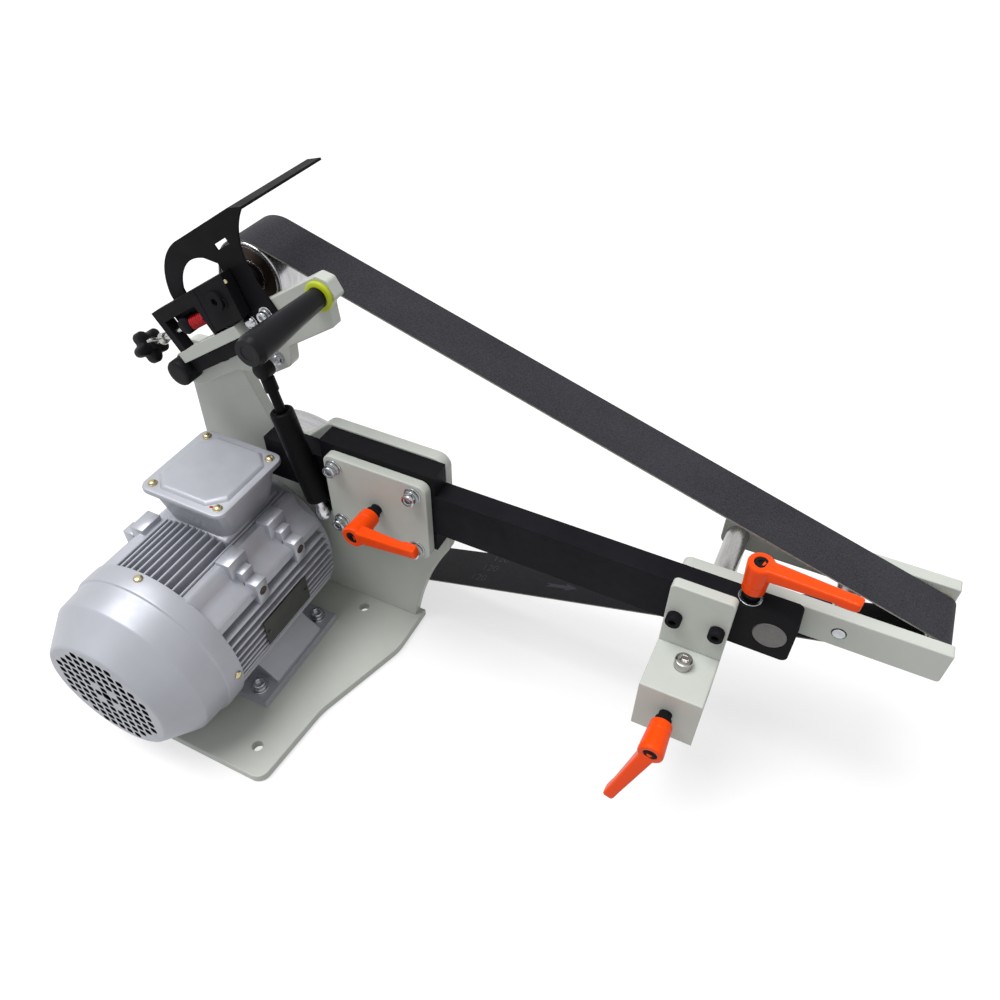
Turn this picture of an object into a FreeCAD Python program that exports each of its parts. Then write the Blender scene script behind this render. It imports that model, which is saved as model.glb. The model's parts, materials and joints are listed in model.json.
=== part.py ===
"""Bench belt grinder, built as a parametric document.

Frame: X runs from the motor towards the contact tip, Y runs from the motor's fan towards the belt,
Z is up. The origin is on the underside of the base plate, at the centre of its four bolt holes.
Every size below is in millimetres.
"""
import FreeCAD, Part
import math
import operator
import os
import Sketcher

doc = FreeCAD.newDocument("belt_grinder")
sheet = doc.addObject("Spreadsheet::Sheet", "Sizes")
sheet_rows = []


class Size:
    """A number that carries the spreadsheet expression it comes from."""

    signs = {"+": operator.add, "-": operator.sub, "*": operator.mul, "/": operator.truediv}

    def __init__(self, number, text):
        self.number = number
        self.text = text

    def joined(self, sign, other, swapped=False):
        """This size and another joined by an arithmetic sign."""
        other = plain(other)
        left, right = (other, self) if swapped else (self, other)
        number = Size.signs[sign](left.number, right.number)
        return Size(number, "(%s %s %s)" % (left.text, sign, right.text))

    def __add__(self, other):
        return self.joined("+", other)

    def __radd__(self, other):
        return self.joined("+", other, True)

    def __sub__(self, other):
        return self.joined("-", other)

    def __rsub__(self, other):
        return self.joined("-", other, True)

    def __mul__(self, other):
        return self.joined("*", other)

    def __rmul__(self, other):
        return self.joined("*", other, True)

    def __truediv__(self, other):
        return self.joined("/", other)

    def __neg__(self):
        return self * -1


def plain(value):
    """A bare number or a Size, as a Size."""
    if isinstance(value, Size):
        return value
    return Size(float(value), "(%r)" % float(value))


def number(value):
    """The number behind a Size or a bare number."""
    return plain(value).number


def size(alias, value):
    """A driving dimension: one row of the spreadsheet, named by its alias."""
    sheet_rows.append(alias)
    row = len(sheet_rows)
    sheet.set("A%d" % row, alias.replace("_", " "))
    sheet.set("B%d" % row, str(value))
    sheet.setAlias("B%d" % row, alias)
    return Size(float(value), "Sizes." + alias)


# ---------------------------------------------------------------- driving dimensions
# base plate and upright plate
bolt_span_x = size("bolt_span_x", 206)
bolt_span_y = size("bolt_span_y", 191)
base_hole_r = size("base_hole_radius", 5.5)
face_y = size("plate_face_y", 111)
base_thick = size("base_thickness", 10)
base_front = size("base_front_reach", 234)
base_front_half = size("base_front_half", 128)
base_waist_half = size("base_waist_half", 135)
base_rear_half = size("base_rear_half", 166)
base_corner_r = size("base_corner_radius", 12)
plate_thick = size("plate_thickness", 12)
plate_foot_half = size("plate_foot_half", 160)
plate_edge_round = size("plate_edge_round", 1.2)
head_left = size("head_left", 84)
head_right = size("head_right", 208)
head_low = size("head_low", 130)
head_top = size("head_top", 245)
valley_x = size("valley_x", 31)
valley_top = size("valley_height", 207)
neck_right = size("neck_right", -14)
neck_left = size("neck_left", -76)
neck_top = size("neck_top", 294)
neck_waist = size("neck_waist_height", 176)
shaft_hole_r = size("shaft_hole_radius", 30)

# motor, IEC 90 frame
shaft_height = size("shaft_height", 90)
foot_span_x = size("foot_span_x", 140)
foot_span_y = size("foot_span_y", 100)
foot_to_shoulder = size("foot_to_shoulder", 56)
foot_hole_r = size("foot_hole_radius", 5)
foot_thick = size("foot_thickness", 10)
foot_outer = size("foot_outer_half", 86)
foot_inner = size("foot_inner_half", 44)
foot_margin = size("foot_margin", 12.5)
web_thick = size("foot_web_thickness", 10)
web_inset = size("foot_web_inset", 25.5)
web_outer = size("foot_web_outer", 83)
web_step = size("foot_web_step", 12)
web_shoulder_x = size("foot_web_shoulder_x", 60)
web_shoulder_z = size("foot_web_shoulder_z", 30)
web_tall = size("foot_web_height", 50)
shield_gap = size("shield_gap", 2)
shield_deep = size("shield_depth", 28)
shell_r = size("shell_radius", 72)
shell_wall = size("shell_wall", 5)
fin_r = size("fin_radius", 85)
fin_thick = size("fin_thickness", 2.6)
fin_count = 40
shell_long = size("shell_length", 150)
cover_r = size("cover_radius", 88)
cover_mid_r = size("cover_mid_radius", 84)
cover_face_r = size("cover_face_radius", 63)
cover_long = size("cover_length", 84)
cover_rim = size("cover_rim_length", 24)
cover_wall = size("cover_wall", 2)
grille_r = size("grille_radius", 56)
grille_pitch = size("grille_pitch", 11)
grille_hole_r = size("grille_hole_radius", 3.6)
shaft_r = size("shaft_radius", 12)
shaft_out = size("shaft_extension", 50)
bearing_seat_r = size("bearing_seat_radius", 12.5)
bearing_r = size("bearing_radius", 26)
bearing_wide = size("bearing_width", 15)
core_r = size("core_radius", 40)
core_long = size("core_length", 100)
air_gap = size("air_gap", 0.5)
fan_r = size("fan_radius", 66)
fan_wide = size("fan_width", 22)
box_low = size("box_low_half", 37)
box_high = size("box_high_half", 43)
box_top = size("box_top_height", 206)
lid_half = size("lid_half", 47.5)
lid_thick = size("lid_thickness", 9)
lid_screw = size("lid_screw_offset", 37.6)
box_shift = size("box_shift", 75)
gland_r = size("gland_radius", 11)
gland_bore_r = size("gland_bore_radius", 6)
gland_long = size("gland_length", 18)

# belt and wheels
belt_wide = size("belt_width", 50.8)
belt_thick = size("belt_thickness", 1.3)
belt_gap = size("belt_gap", 0.25)
belt_mid = size("belt_middle", 42)
drive_r = size("drive_wheel_radius", 90)
drive_wide = size("drive_wheel_width", 56)
tracking_x = size("tracking_x", 12)
tracking_z = size("tracking_z", 370)
tracking_r = size("tracking_wheel_radius", 32.5)
wheel_wide = size("tracking_wheel_width", 52)
tip_x = size("tip_x", 631)
tip_z = size("tip_z", 204)
tip_r = size("tip_roller_radius", 9.5)
axle_start = size("tip_axle_start", 5)
tip_axle_r = size("tip_axle_radius", 4)
running = size("running_clearance", 0.05)
fit_gap = size("fit_gap", 0.15)

# tool arm, receiver and clamp
arm_thick = size("arm_thickness", 21.5)
arm_tall = size("arm_height", 48)
arm_low = size("arm_low", 173)
arm_left = size("arm_left", 20)
arm_seam = size("arm_seam", 471.5)
arm_right = size("arm_right", 531)
slide_gap = size("slide_gap", 0.4)
bar_tall = size("receiver_bar_height", 21.5)
bar_left = size("receiver_bar_left", 88)
low_bar_left = size("low_bar_left", 76)
clamp_left = size("clamp_plate_left", 97)
clamp_right = size("clamp_plate_right", 205)
clamp_low = size("clamp_plate_low", 144)
clamp_high = size("clamp_plate_high", 237)
clamp_thick = size("clamp_plate_thickness", 10)
clamp_bolt_left = size("clamp_bolt_left", 108.3)
clamp_bolt_right = size("clamp_bolt_right", 191.7)
clamp_bolt_high = size("clamp_bolt_high", 225)
clamp_bolt_low = size("clamp_bolt_low", 156)
clamp_corner_r = size("clamp_corner_radius", 9)
bolt_r = size("bolt_radius", 4)
bolt_head_r = size("bolt_head_radius", 6.5)
bolt_head_tall = size("bolt_head_height", 8)
washer_r = size("washer_radius", 8)
washer_thick = size("washer_thickness", 1.6)
socket_r = size("socket_radius", 3.2)

# ratchet levers
lever_hub_low_r = size("lever_hub_low_radius", 9.5)
lever_hub_high_r = size("lever_hub_high_radius", 11)
lever_hub_tall = size("lever_hub_height", 31)
lever_collar_tall = size("lever_collar_height", 11)
lever_collar_r = size("lever_collar_radius", 7.2)
lever_reach = size("lever_reach", 76)
lever_rise = size("lever_rise", 19)
lever_root_wide = size("lever_root_width", 15)
lever_tip_wide = size("lever_tip_width", 10.5)
lever_root_thick = size("lever_root_thickness", 14)
lever_tip_thick = size("lever_tip_thickness", 7.5)
lever_stud_r = size("lever_stud_radius", 5)
lever_one_angle = 20
lever_two_angle = -16
lever_three_angle = -111
lever_two_x = size("lever_two_x", 489)

# work rest bracket on the tool arm
rest_left = size("rest_left", 429)
rest_right = size("rest_right", 482.5)
rest_low = size("rest_low", 98)
rest_high = size("rest_high", 228)
rest_plate_thick = size("rest_plate_thickness", 10)
rest_block_deep = size("rest_block_depth", 50.5)
rest_block_high = size("rest_block_high", 157)
rest_screw_inset = size("rest_screw_inset", 9)
rest_screw_z = size("rest_screw_height", 192)
rest_bore_r = size("rest_bore_radius", 8)
rest_bore_z = size("rest_bore_height", 130)
rest_bore_y = size("rest_bore_depth", 30)

# fork that carries the contact tip
end_block_round = size("end_block_round", 6)
fork_low = size("fork_low", 187)
fork_high = size("fork_high", 220.5)
fork_left = size("fork_left", 429)
fork_back_left = size("fork_back_left", 448)
fork_right = size("fork_right", 641)
fork_thick = size("fork_thickness", 12)
fork_open = size("fork_opening", 60)
spacer_r = size("spacer_radius", 10)
spacer_one_x = size("spacer_one_x", 462)
spacer_two_x = size("spacer_two_x", 561)
spacer_z = size("spacer_height", 203)
swivel_x = size("swivel_x", 512)
swivel_z = size("swivel_height", 197)
swivel_pin_r = size("swivel_pin_radius", 14)

# tension arm, in its own frame: u along the arm, w square to it, from the pivot
pivot_x = size("pivot_x", -57)
pivot_z = size("pivot_z", 276)
arm_tilt = size("tension_arm_tilt", 33.5)
tension_gap = size("tension_gap", 1)
tension_thick = size("tension_arm_thickness", 12)
tension_half = size("tension_arm_half", 22)
tension_shelf = size("tension_shelf", 14)
tension_long = size("tension_arm_length", 217.5)
tension_top = size("tension_arm_top", 20.6)
pivot_bolt_r = size("pivot_bolt_radius", 6)
cap_r = size("pivot_cap_radius", 13)
cap_long = size("pivot_cap_length", 20)
handle_u = size("handle_u", 202.5)
handle_w = size("handle_w", 5.5)
handle_root_r = size("handle_root_radius", 8.5)
handle_end_r = size("handle_end_radius", 12.5)
handle_long = size("handle_length", 87)
ring_r = size("handle_ring_radius", 13)
ring_thick = size("handle_ring_thickness", 4)
lobe_u = size("lobe_u", 114)
lobe_w = size("lobe_w", -26)
dome_one_u = size("dome_screw_one_u", 117)
dome_two_u = size("dome_screw_two_u", 137)
dome_w = size("dome_screw_w", 11)
handle_nut_r = size("handle_nut_radius", 7.5)
handle_nut_tall = size("handle_nut_height", 7)

# tracking unit on the tension arm
guard_gap = size("guard_gap", 0.4)
guard_thick = size("guard_thickness", 2)
guard_strip = size("guard_strip_reach", 106)
bracket_left = size("bracket_left", 20)
bracket_right = size("bracket_right", 92)
bracket_end_wall = size("bracket_end_wall", 13)
bracket_low = size("bracket_low", 16)
bracket_high = size("bracket_high", 57)
bracket_wall = size("bracket_wall", 9)
bracket_deep = size("bracket_depth", 11)
block_right = size("block_right", 134)
block_gap = size("block_gap", 2)
block_slant = size("block_slant", 10)
axle_r = size("tracking_axle_radius", 6)
boss_r = size("axle_boss_radius", 11)
screw_w = size("tracking_screw_w", 33)
screw_r = size("tracking_screw_radius", 3)
screw_tip_gap = size("screw_tip_gap", 0.8)
spring_r = size("tracking_spring_radius", 6)
star_r = size("star_knob_radius", 17)
star_u = size("star_knob_u", -22)
star_wide = size("star_knob_width", 14)
star_lobe_r = size("star_lobe_radius", 6.5)

# strut between the frame and the tension arm
strut_y = size("strut_plane", 34)
strut_foot_x = size("strut_foot_x", 88)
strut_foot_z = size("strut_foot_z", 161)
strut_tube_r = size("strut_tube_radius", 11)
strut_rod_r = size("strut_rod_radius", 5)
strut_neck_r = size("strut_neck_radius", 4.6)
strut_tube_start = size("strut_tube_start", 16)
strut_tube_end = size("strut_tube_end", 118)
strut_socket_r = size("strut_socket_radius", 8.5)
ball_r = size("ball_radius", 5)
ball_gap = size("ball_gap", 1)

doc.recompute()

# ---------------------------------------------------------------- how pieces are made


def bind(item, prop, value):
    """Ties a property to its sheet expression."""
    item.setExpression(prop, plain(value).text)


def put(item, x=0, y=0, z=0):
    """Ties an object's place to its sheet expressions."""
    bind(item, ".Placement.Base.x", x)
    bind(item, ".Placement.Base.y", y)
    bind(item, ".Placement.Base.z", z)
    return item


TURNS = {
    "+Z": FreeCAD.Rotation(),
    "-Z": FreeCAD.Rotation(FreeCAD.Vector(1, 0, 0), 180),
    "+X": FreeCAD.Rotation(FreeCAD.Vector(0, 1, 0), 90),
    "-X": FreeCAD.Rotation(FreeCAD.Vector(0, 1, 0), -90),
    "+Y": FreeCAD.Rotation(FreeCAD.Vector(1, 0, 0), -90),
    "-Y": FreeCAD.Rotation(FreeCAD.Vector(1, 0, 0), 90),
}


def box(label, corner, lengths):
    """A rectangular block from its lowest corner."""
    item = doc.addObject("Part::Box", label)
    for prop, value in zip(("Length", "Width", "Height"), lengths):
        bind(item, prop, value)
    return put(item, *corner)


def rod(label, start, along, radius, length):
    """A round bar from its start point along an axis."""
    item = doc.addObject("Part::Cylinder", label)
    bind(item, "Radius", radius)
    bind(item, "Height", length)
    item.Placement.Rotation = TURNS[along]
    return put(item, *start)


def cone(label, start, along, radius_start, radius_end, length):
    """A tapered round bar."""
    item = doc.addObject("Part::Cone", label)
    bind(item, "Radius1", radius_start)
    bind(item, "Radius2", radius_end)
    bind(item, "Height", length)
    item.Placement.Rotation = TURNS[along]
    return put(item, *start)


def ball(label, centre, radius):
    """A sphere about a centre."""
    item = doc.addObject("Part::Sphere", label)
    bind(item, "Radius", radius)
    return put(item, *centre)


def joined(label, pieces):
    """Several touching solids made one."""
    item = doc.addObject("Part::MultiFuse", label)
    item.Shapes = pieces
    item.Refine = True
    return item


def grouped(label, pieces):
    """Several separate solids kept in one node."""
    item = doc.addObject("Part::Compound", label)
    item.Links = pieces
    return item


def cut(label, base, tools):
    """A solid with one or more tools taken out of it."""
    item = doc.addObject("Part::Cut", label)
    item.Base = base
    item.Tool = tools[0] if len(tools) == 1 else joined(label + "_tools", tools)
    return item


def body(label):
    """An empty PartDesign body."""
    return doc.addObject("PartDesign::Body", label)


def origin_plane(owner, role):
    """One of a body's own origin planes."""
    return [item for item in owner.Origin.OriginFeatures if item.Role == role][0]


def arc_between(start, end, radius):
    """A round sketch edge from start to end: radius above 0 bulges to the right of travel."""
    chord = end - start
    middle = (start + end) * 0.5
    reach = math.sqrt(max(radius * radius - chord.Length ** 2 / 4, 0))
    side = FreeCAD.Vector(-chord.y, chord.x, 0).normalize()
    centre = middle + side * (reach if radius > 0 else -reach)
    first, last = (start, end) if radius > 0 else (end, start)
    angles = [math.atan2(point.y - centre.y, point.x - centre.x) for point in (first, last)]
    circle = Part.Circle(centre, FreeCAD.Vector(0, 0, 1), abs(radius))
    return Part.ArcOfCircle(circle, *angles)


def outline_sketch(owner, plane, corners):
    """A closed sketch. Each corner is (x, y) or (x, y, radius of the edge that leaves it)."""
    sketch = owner.newObject("Sketcher::SketchObject", owner.Name + "_outline")
    sketch.AttachmentSupport = (origin_plane(owner, plane), [""])
    sketch.MapMode = "FlatFace"
    points = [FreeCAD.Vector(number(corner[0]), number(corner[1]), 0) for corner in corners]
    ends = []
    for index, corner in enumerate(corners):
        after = points[(index + 1) % len(points)]
        bend = number(corner[2]) if len(corner) > 2 else 0
        if bend:
            sketch.addGeometry(arc_between(points[index], after, bend), False)
        else:
            sketch.addGeometry(Part.LineSegment(points[index], after), False)
        ends.append((1, 2) if bend >= 0 else (2, 1))
    for index, corner in enumerate(corners):
        following = (index + 1) % len(corners)
        sketch.addConstraint(
            Sketcher.Constraint("Coincident", index, ends[index][1], following, ends[following][0]))
        for kind, value, place in (("DistanceX", corner[0], points[index].x),
                                   ("DistanceY", corner[1], points[index].y)):
            row = sketch.addConstraint(
                Sketcher.Constraint(kind, -1, 1, index, ends[index][0], place))
            bind(sketch, "Constraints[%d]" % row, value)
        if len(corner) > 2:
            row = sketch.addConstraint(Sketcher.Constraint("Radius", index, abs(number(corner[2]))))
            bind(sketch, "Constraints[%d]" % row, corner[2] if number(corner[2]) > 0 else -corner[2])
    return sketch


def rounded_edges(owner, base, radius, wanted):
    """A fillet on every edge of the base feature that the wanted test picks."""
    doc.recompute()
    names = ["Edge%d" % (index + 1) for index, edge in enumerate(base.Shape.Edges) if wanted(edge)]
    item = owner.newObject("PartDesign::Fillet", owner.Name + "_round")
    item.Base = (base, names)
    bind(item, "Radius", radius)
    doc.recompute()
    return item


def upright_at(x, y, axis="Z"):
    """A test for a straight edge along an axis that passes through a place in the sketch."""
    def test(edge):
        if len(edge.Vertexes) != 2:
            return False
        first, last = (vertex.Point for vertex in edge.Vertexes)
        if axis == "Z":
            flat = [(point.x, point.y) for point in (first, last)]
        else:
            flat = [(point.x, point.z) for point in (first, last)]
        return all(math.hypot(place[0] - x, place[1] - y) < 0.01 for place in flat)
    return test


def plate(label, plane, corners, thick, rounds=(), edge_round=None):
    """A flat plate: an outline padded, its named corners and then its rims rounded."""
    owner = body(label)
    sketch = outline_sketch(owner, plane, corners)
    pad = owner.newObject("PartDesign::Pad", label + "_pad")
    pad.Profile = sketch
    bind(pad, "Length", thick)
    pad.Reversed = plane == "XZ_Plane"
    axis = "Z" if plane == "XY_Plane" else "Y"
    last = pad
    for index, radius in rounds:
        test = upright_at(number(corners[index][0]), number(corners[index][1]), axis)
        last = rounded_edges(owner, last, radius, test)
    if edge_round is not None:
        deep = number(thick)

        def on_rim(edge):
            box_of = edge.BoundBox
            span = box_of.ZLength if axis == "Z" else box_of.YLength
            return span < deep / 100
        last = rounded_edges(owner, last, edge_round, on_rim)
    return owner


def turned(label, profile):
    """A piece turned about its own Z axis from a profile of (radius, height) corners."""
    owner = body(label)
    sketch = outline_sketch(owner, "XZ_Plane", profile)
    spin = owner.newObject("PartDesign::Revolution", label + "_turn")
    spin.Profile = sketch
    spin.ReferenceAxis = (sketch, ["V_Axis"])
    spin.Angle = 360
    return owner


def face_along(item, along, x, y, z):
    """Turns a piece made along Z to another axis and ties its place."""
    item.Placement.Rotation = TURNS[along]
    return put(item, x, y, z)


def aft(value):
    """A place along Y measured from the front face of the upright plate."""
    return face_y + value


def above(value):
    """A height measured from the top of the base plate."""
    return base_thick + value


def cap_screw(label, start, along, shank, head_r=bolt_head_r, head=bolt_head_tall, radius=bolt_r):
    """A socket head screw: the start is under its head, and the shank runs along the axis."""
    back = {"+": "-", "-": "+"}[along[0]] + along[1]
    solid = joined(label + "_blank", [
        rod(label + "_shank", start, along, radius, shank),
        rod(label + "_head", start, back, head_r, head)])
    reach = {"X": 0, "Y": 1, "Z": 2}[along[1]]
    mouth = list(start)
    mouth[reach] = start[reach] + head * (-1 if along[0] == "+" else 1)
    return cut(label, solid, [rod(label + "_socket", mouth, along, socket_r, head / 2)])


nodes = []


def node(label, item):
    """Names the finished piece that becomes a node of its own."""
    item.Label = label
    nodes.append(item)
    return item


axis_z = base_thick + shaft_height
tilt = math.radians(number(arm_tilt))
cos_tilt = Size(math.cos(tilt), "cos(Sizes.tension_arm_tilt * 1 deg)")
sin_tilt = Size(math.sin(tilt), "sin(Sizes.tension_arm_tilt * 1 deg)")


def arm_frame(item):
    """Puts a piece made in the tension arm's own frame on the pivot, at the arm's tilt."""
    item.Placement.Rotation = FreeCAD.Rotation(FreeCAD.Vector(0, -1, 0), number(arm_tilt))
    bind(item, ".Placement.Rotation.Angle", arm_tilt)
    return put(item, pivot_x, face_y, above(pivot_z))


# ---------------------------------------------------------------- base plate and upright plate
base_corners = [
    (-base_front_half, -base_front), (base_front_half, -base_front),
    (base_waist_half, base_front * -0.62), (base_rear_half, -45), (base_rear_half, plate_thick),
    (-base_rear_half, plate_thick), (-base_rear_half, -45), (-base_waist_half, base_front * -0.62)]
base_blank = plate("base_blank", "XY_Plane", base_corners, base_thick,
                   ((0, base_corner_r), (1, base_corner_r), (2, 80), (3, 60), (6, 60), (7, 80)),
                   plate_edge_round)
put(base_blank, 0, face_y, 0)
foot_bolt_y = -foot_to_shoulder
foot_bolts = [(side * foot_span_x / 2, foot_bolt_y - foot_span_y * row) for row in (0, 1) for side in (-1, 1)]
base_holes = [rod("base_hole", (side * bolt_span_x / 2, end * bolt_span_y / 2, 0), "+Z", base_hole_r, base_thick)
              for side in (-1, 1) for end in (-1, 1)]
base_holes += [rod("foot_tap", (x, aft(y), 0), "+Z", bolt_r + fit_gap, base_thick) for x, y in foot_bolts]
node("base_plate", cut("base_plate", base_blank, base_holes))

plate_corners = [
    (-plate_foot_half, 0), (plate_foot_half, 0, -420), (head_right, head_low), (head_right, head_top),
    (head_left, head_top), (valley_x + 22, valley_top + 9), (valley_x, valley_top),
    (valley_x - 15, valley_top + 7), (neck_right, neck_top), (neck_left, neck_top),
    (neck_left - 5, neck_waist, -260)]
upright_blank = plate("upright_blank", "XZ_Plane", plate_corners, plate_thick,
                      ((2, 14), (3, 12), (4, 14), (5, 26), (6, 12), (7, 14), (8, 12), (9, 18)),
                      plate_edge_round)
put(upright_blank, 0, face_y, base_thick)
pivot_y = face_y - tension_gap
receiver_bolts = [(x, z) for x in (clamp_bolt_left, clamp_bolt_right) for z in (clamp_bolt_low, clamp_bolt_high)]
plate_holes = [rod("shaft_hole", (0, face_y, axis_z), "+Y", shaft_hole_r, plate_thick)]
plate_holes += [rod("clamp_tap", (x, face_y, above(z)), "+Y", bolt_r + fit_gap, plate_thick)
                for x, z in receiver_bolts]
plate_holes += [rod("pivot_tap", (pivot_x, face_y, above(pivot_z)), "+Y", pivot_bolt_r + fit_gap, plate_thick)]
node("upright_plate", cut("upright_plate", upright_blank, plate_holes))

# ---------------------------------------------------------------- receiver for the tool arm
bar_top_low = arm_low + arm_tall + slide_gap
bar_low_low = arm_low - slide_gap - bar_tall
bar_y = face_y - arm_thick - slide_gap
receiver_bars = []
for label, left, low in (("top", bar_left, bar_top_low), ("low", low_bar_left, bar_low_low)):
    blank = box("receiver_" + label, (left, bar_y, above(low)),
                (head_right - left, arm_thick + slide_gap, bar_tall))
    holes = [rod("bar_hole", (x, bar_y, above(z)), "+Y", bolt_r + fit_gap, arm_thick + slide_gap)
             for x, z in receiver_bolts if number(low) < number(z) < number(low + bar_tall)]
    if label == "low":
        holes.append(rod("stud_tap", (strut_foot_x, bar_y, above(strut_foot_z)), "+Y", 4 + fit_gap, 12))
    receiver_bars.append(cut("receiver_bar_" + label, blank, holes))
node("receiver_bars", grouped("receiver_bars", receiver_bars))

clamp_y = bar_y - clamp_thick
clamp_x = (clamp_left + clamp_right) / 2
clamp_z = (clamp_low + clamp_high) / 2
clamp_blank = plate("clamp_blank", "XZ_Plane",
                    [(clamp_left, clamp_low), (clamp_right, clamp_low),
                     (clamp_right, clamp_high), (clamp_left, clamp_high)], clamp_thick,
                    [(index, clamp_corner_r) for index in range(4)], plate_edge_round)
put(clamp_blank, 0, clamp_y, base_thick)
clamp_holes = [rod("clamp_hole", (x, clamp_y, above(z)), "+Y", bolt_r + fit_gap, clamp_thick)
               for x, z in receiver_bolts]
clamp_holes.append(rod("stud_hole", (clamp_x, clamp_y, above(clamp_z)), "+Y", lever_stud_r + running, clamp_thick))
node("clamp_plate", cut("clamp_plate", clamp_blank, clamp_holes))

clamp_shank = clamp_thick + arm_thick + slide_gap + plate_thick + washer_thick
clamp_bolts = []
for x, z in receiver_bolts:
    clamp_bolts.append(cap_screw("clamp_bolt", (x, clamp_y - washer_thick, above(z)), "+Y", clamp_shank))
    washer = rod("washer_disc", (x, clamp_y - washer_thick, above(z)), "+Y", washer_r, washer_thick)
    washer_hole = rod("washer_hole", (x, clamp_y - washer_thick, above(z)), "+Y", bolt_r + fit_gap, washer_thick)
    clamp_bolts.append(cut("clamp_washer", washer, [washer_hole]))
node("clamp_plate_bolts", grouped("clamp_plate_bolts", clamp_bolts))

# ---------------------------------------------------------------- motor: fixed pieces
shield_y = -shield_gap
shell_y = shield_y - shield_deep
shell_end = shell_y - shell_long
cover_start = shell_end + 4
cover_end = cover_start - cover_long


def motor_rod(label, start, radius, length):
    """A round bar on the motor's axis, from a place along Y towards the fan."""
    return rod(label, (0, aft(start), axis_z), "-Y", radius, length)


fins = []
for index in range(fin_count):
    angle = 360 / fin_count * (index + 0.5)
    from_top = min(angle, 360 - angle)
    if from_top < 32:
        continue
    fin = doc.addObject("Part::Box", "fin")
    bind(fin, "Length", fin_thick)
    bind(fin, "Width", shell_long)
    bind(fin, "Height", fin_r)
    turn = FreeCAD.Rotation(FreeCAD.Vector(0, 1, 0), angle)
    fin.Placement = FreeCAD.Placement(
        FreeCAD.Vector(0, number(aft(shell_end)), number(axis_z)), turn)
    shift = turn.multVec(FreeCAD.Vector(-0.5, 0, 0))
    put(fin, fin_thick * shift.x, aft(shell_end), axis_z + fin_thick * shift.z)
    fins.append(fin)
lugs = [box("lug", (side * 58 - 11, aft(y), axis_z + 42), (22, 16, 24)) for side in (-1, 1) for y in (-150, -92)]
neck_block = box("box_seat", (-34, aft(-box_shift - 34), axis_z + shell_r - 8), (68, 68, 14))
shell_solid = joined("shell_solid", [motor_rod("shell_outer", shell_y, shell_r, shell_long)] + fins
                     + lugs + [neck_block])
shell_bore = motor_rod("shell_bore", shell_y, shell_r - shell_wall, shell_long)
foot_front = foot_bolt_y - foot_span_y - foot_margin
foot_deep = foot_span_y + foot_margin * 2


def foot_web(label, side, spare):
    """The sloping web of one motor foot, with some spare room all round."""
    web = plate(label, "XZ_Plane", [
        ((foot_inner - spare) * side, 0), ((web_outer + spare) * side, 0), ((web_outer + spare) * side, web_step + spare),
        ((web_shoulder_x + spare) * side, web_shoulder_z + spare), ((foot_inner + web_thick + spare) * side, web_tall + spare),
        ((foot_inner - spare) * side, web_tall + spare)], foot_deep - web_inset * 2 + spare * 2)
    return put(web, 0, aft(foot_front + web_inset) - spare, base_thick)


web_rooms = [cut("web_room", foot_web("web_space", side, fit_gap), [motor_rod("web_shell", shell_y, shell_r, shell_long)])
             for side in (-1, 1)]
shell_foot_cut = box("shell_foot_cut", (-foot_outer, aft(shell_end), base_thick - 1),
                     (foot_outer * 2, shell_long, foot_thick + 8))
lug_holes = [rod("lug_hole", (side * 64, aft(y + 8), axis_z + 42), "+Z", 3.5, 12)
             for side in (-1, 1) for y in (-150, -92)]
node("motor_housing", cut("motor_housing", shell_solid, [shell_bore, shell_foot_cut] + web_rooms + lug_holes))

feet = []
for side in (-1, 1):
    left = foot_inner if side > 0 else -foot_outer
    pad = box("foot_pad", (left, aft(foot_front), base_thick), (foot_outer - foot_inner, foot_deep, foot_thick))
    solid = joined("foot_solid", [pad, foot_web("foot_web", side, 0)])
    clear = motor_rod("foot_clear", shell_y + 1, shell_r, shell_long + 2)
    bolt_holes = [rod("foot_hole", (side * foot_span_x / 2, aft(foot_bolt_y - foot_span_y * row), base_thick),
                      "+Z", foot_hole_r, foot_thick) for row in (0, 1)]
    feet.append(cut("foot", solid, [clear] + bolt_holes))
node("motor_feet", grouped("motor_feet", feet))

foot_screws = []
for x, y in foot_bolts:
    top = base_thick + foot_thick
    washer = rod("foot_washer_disc", (x, aft(y), top), "+Z", washer_r + 1, washer_thick)
    washer_hole = rod("foot_washer_hole", (x, aft(y), top), "+Z", bolt_r + fit_gap, washer_thick)
    foot_screws.append(cut("foot_washer", washer, [washer_hole]))
    foot_screws.append(cap_screw("foot_bolt", (x, aft(y), top + washer_thick), "-Z",
                                 washer_thick + foot_thick + base_thick - 1))
node("motor_foot_bolts", grouped("motor_foot_bolts", foot_screws))

seat = bearing_r + fit_gap
shield = turned("shield_turned", [
    (bearing_seat_r + 3, 0), (46, 0), (62, 8), (shell_r + 4, 18), (shell_r + 4, shield_deep),
    (shell_r - shell_wall - fit_gap, shield_deep), (60, 20), (40, 9), (bearing_r + 8, 9),
    (bearing_r + 8, 7 + bearing_wide), (seat, 7 + bearing_wide), (seat, 7), (bearing_seat_r + 3, 7)])
face_along(shield, "-Y", 0, aft(shield_y), axis_z)
node("drive_end_shield", shield)
shell_inner = shell_r - shell_wall - fit_gap
rear_shield_y = shell_end + 5 + bearing_wide
rear_shield = turned("rear_shield_turned", [
    (seat, 0), (bearing_r + 6, 0), (bearing_r + 6, 10), (shell_inner, 10), (shell_inner, bearing_wide + 5),
    (bearing_seat_r + 3, bearing_wide + 5), (bearing_seat_r + 3, bearing_wide), (seat, bearing_wide)])
face_along(rear_shield, "-Y", 0, aft(rear_shield_y), axis_z)
node("fan_end_shield", rear_shield)

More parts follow.
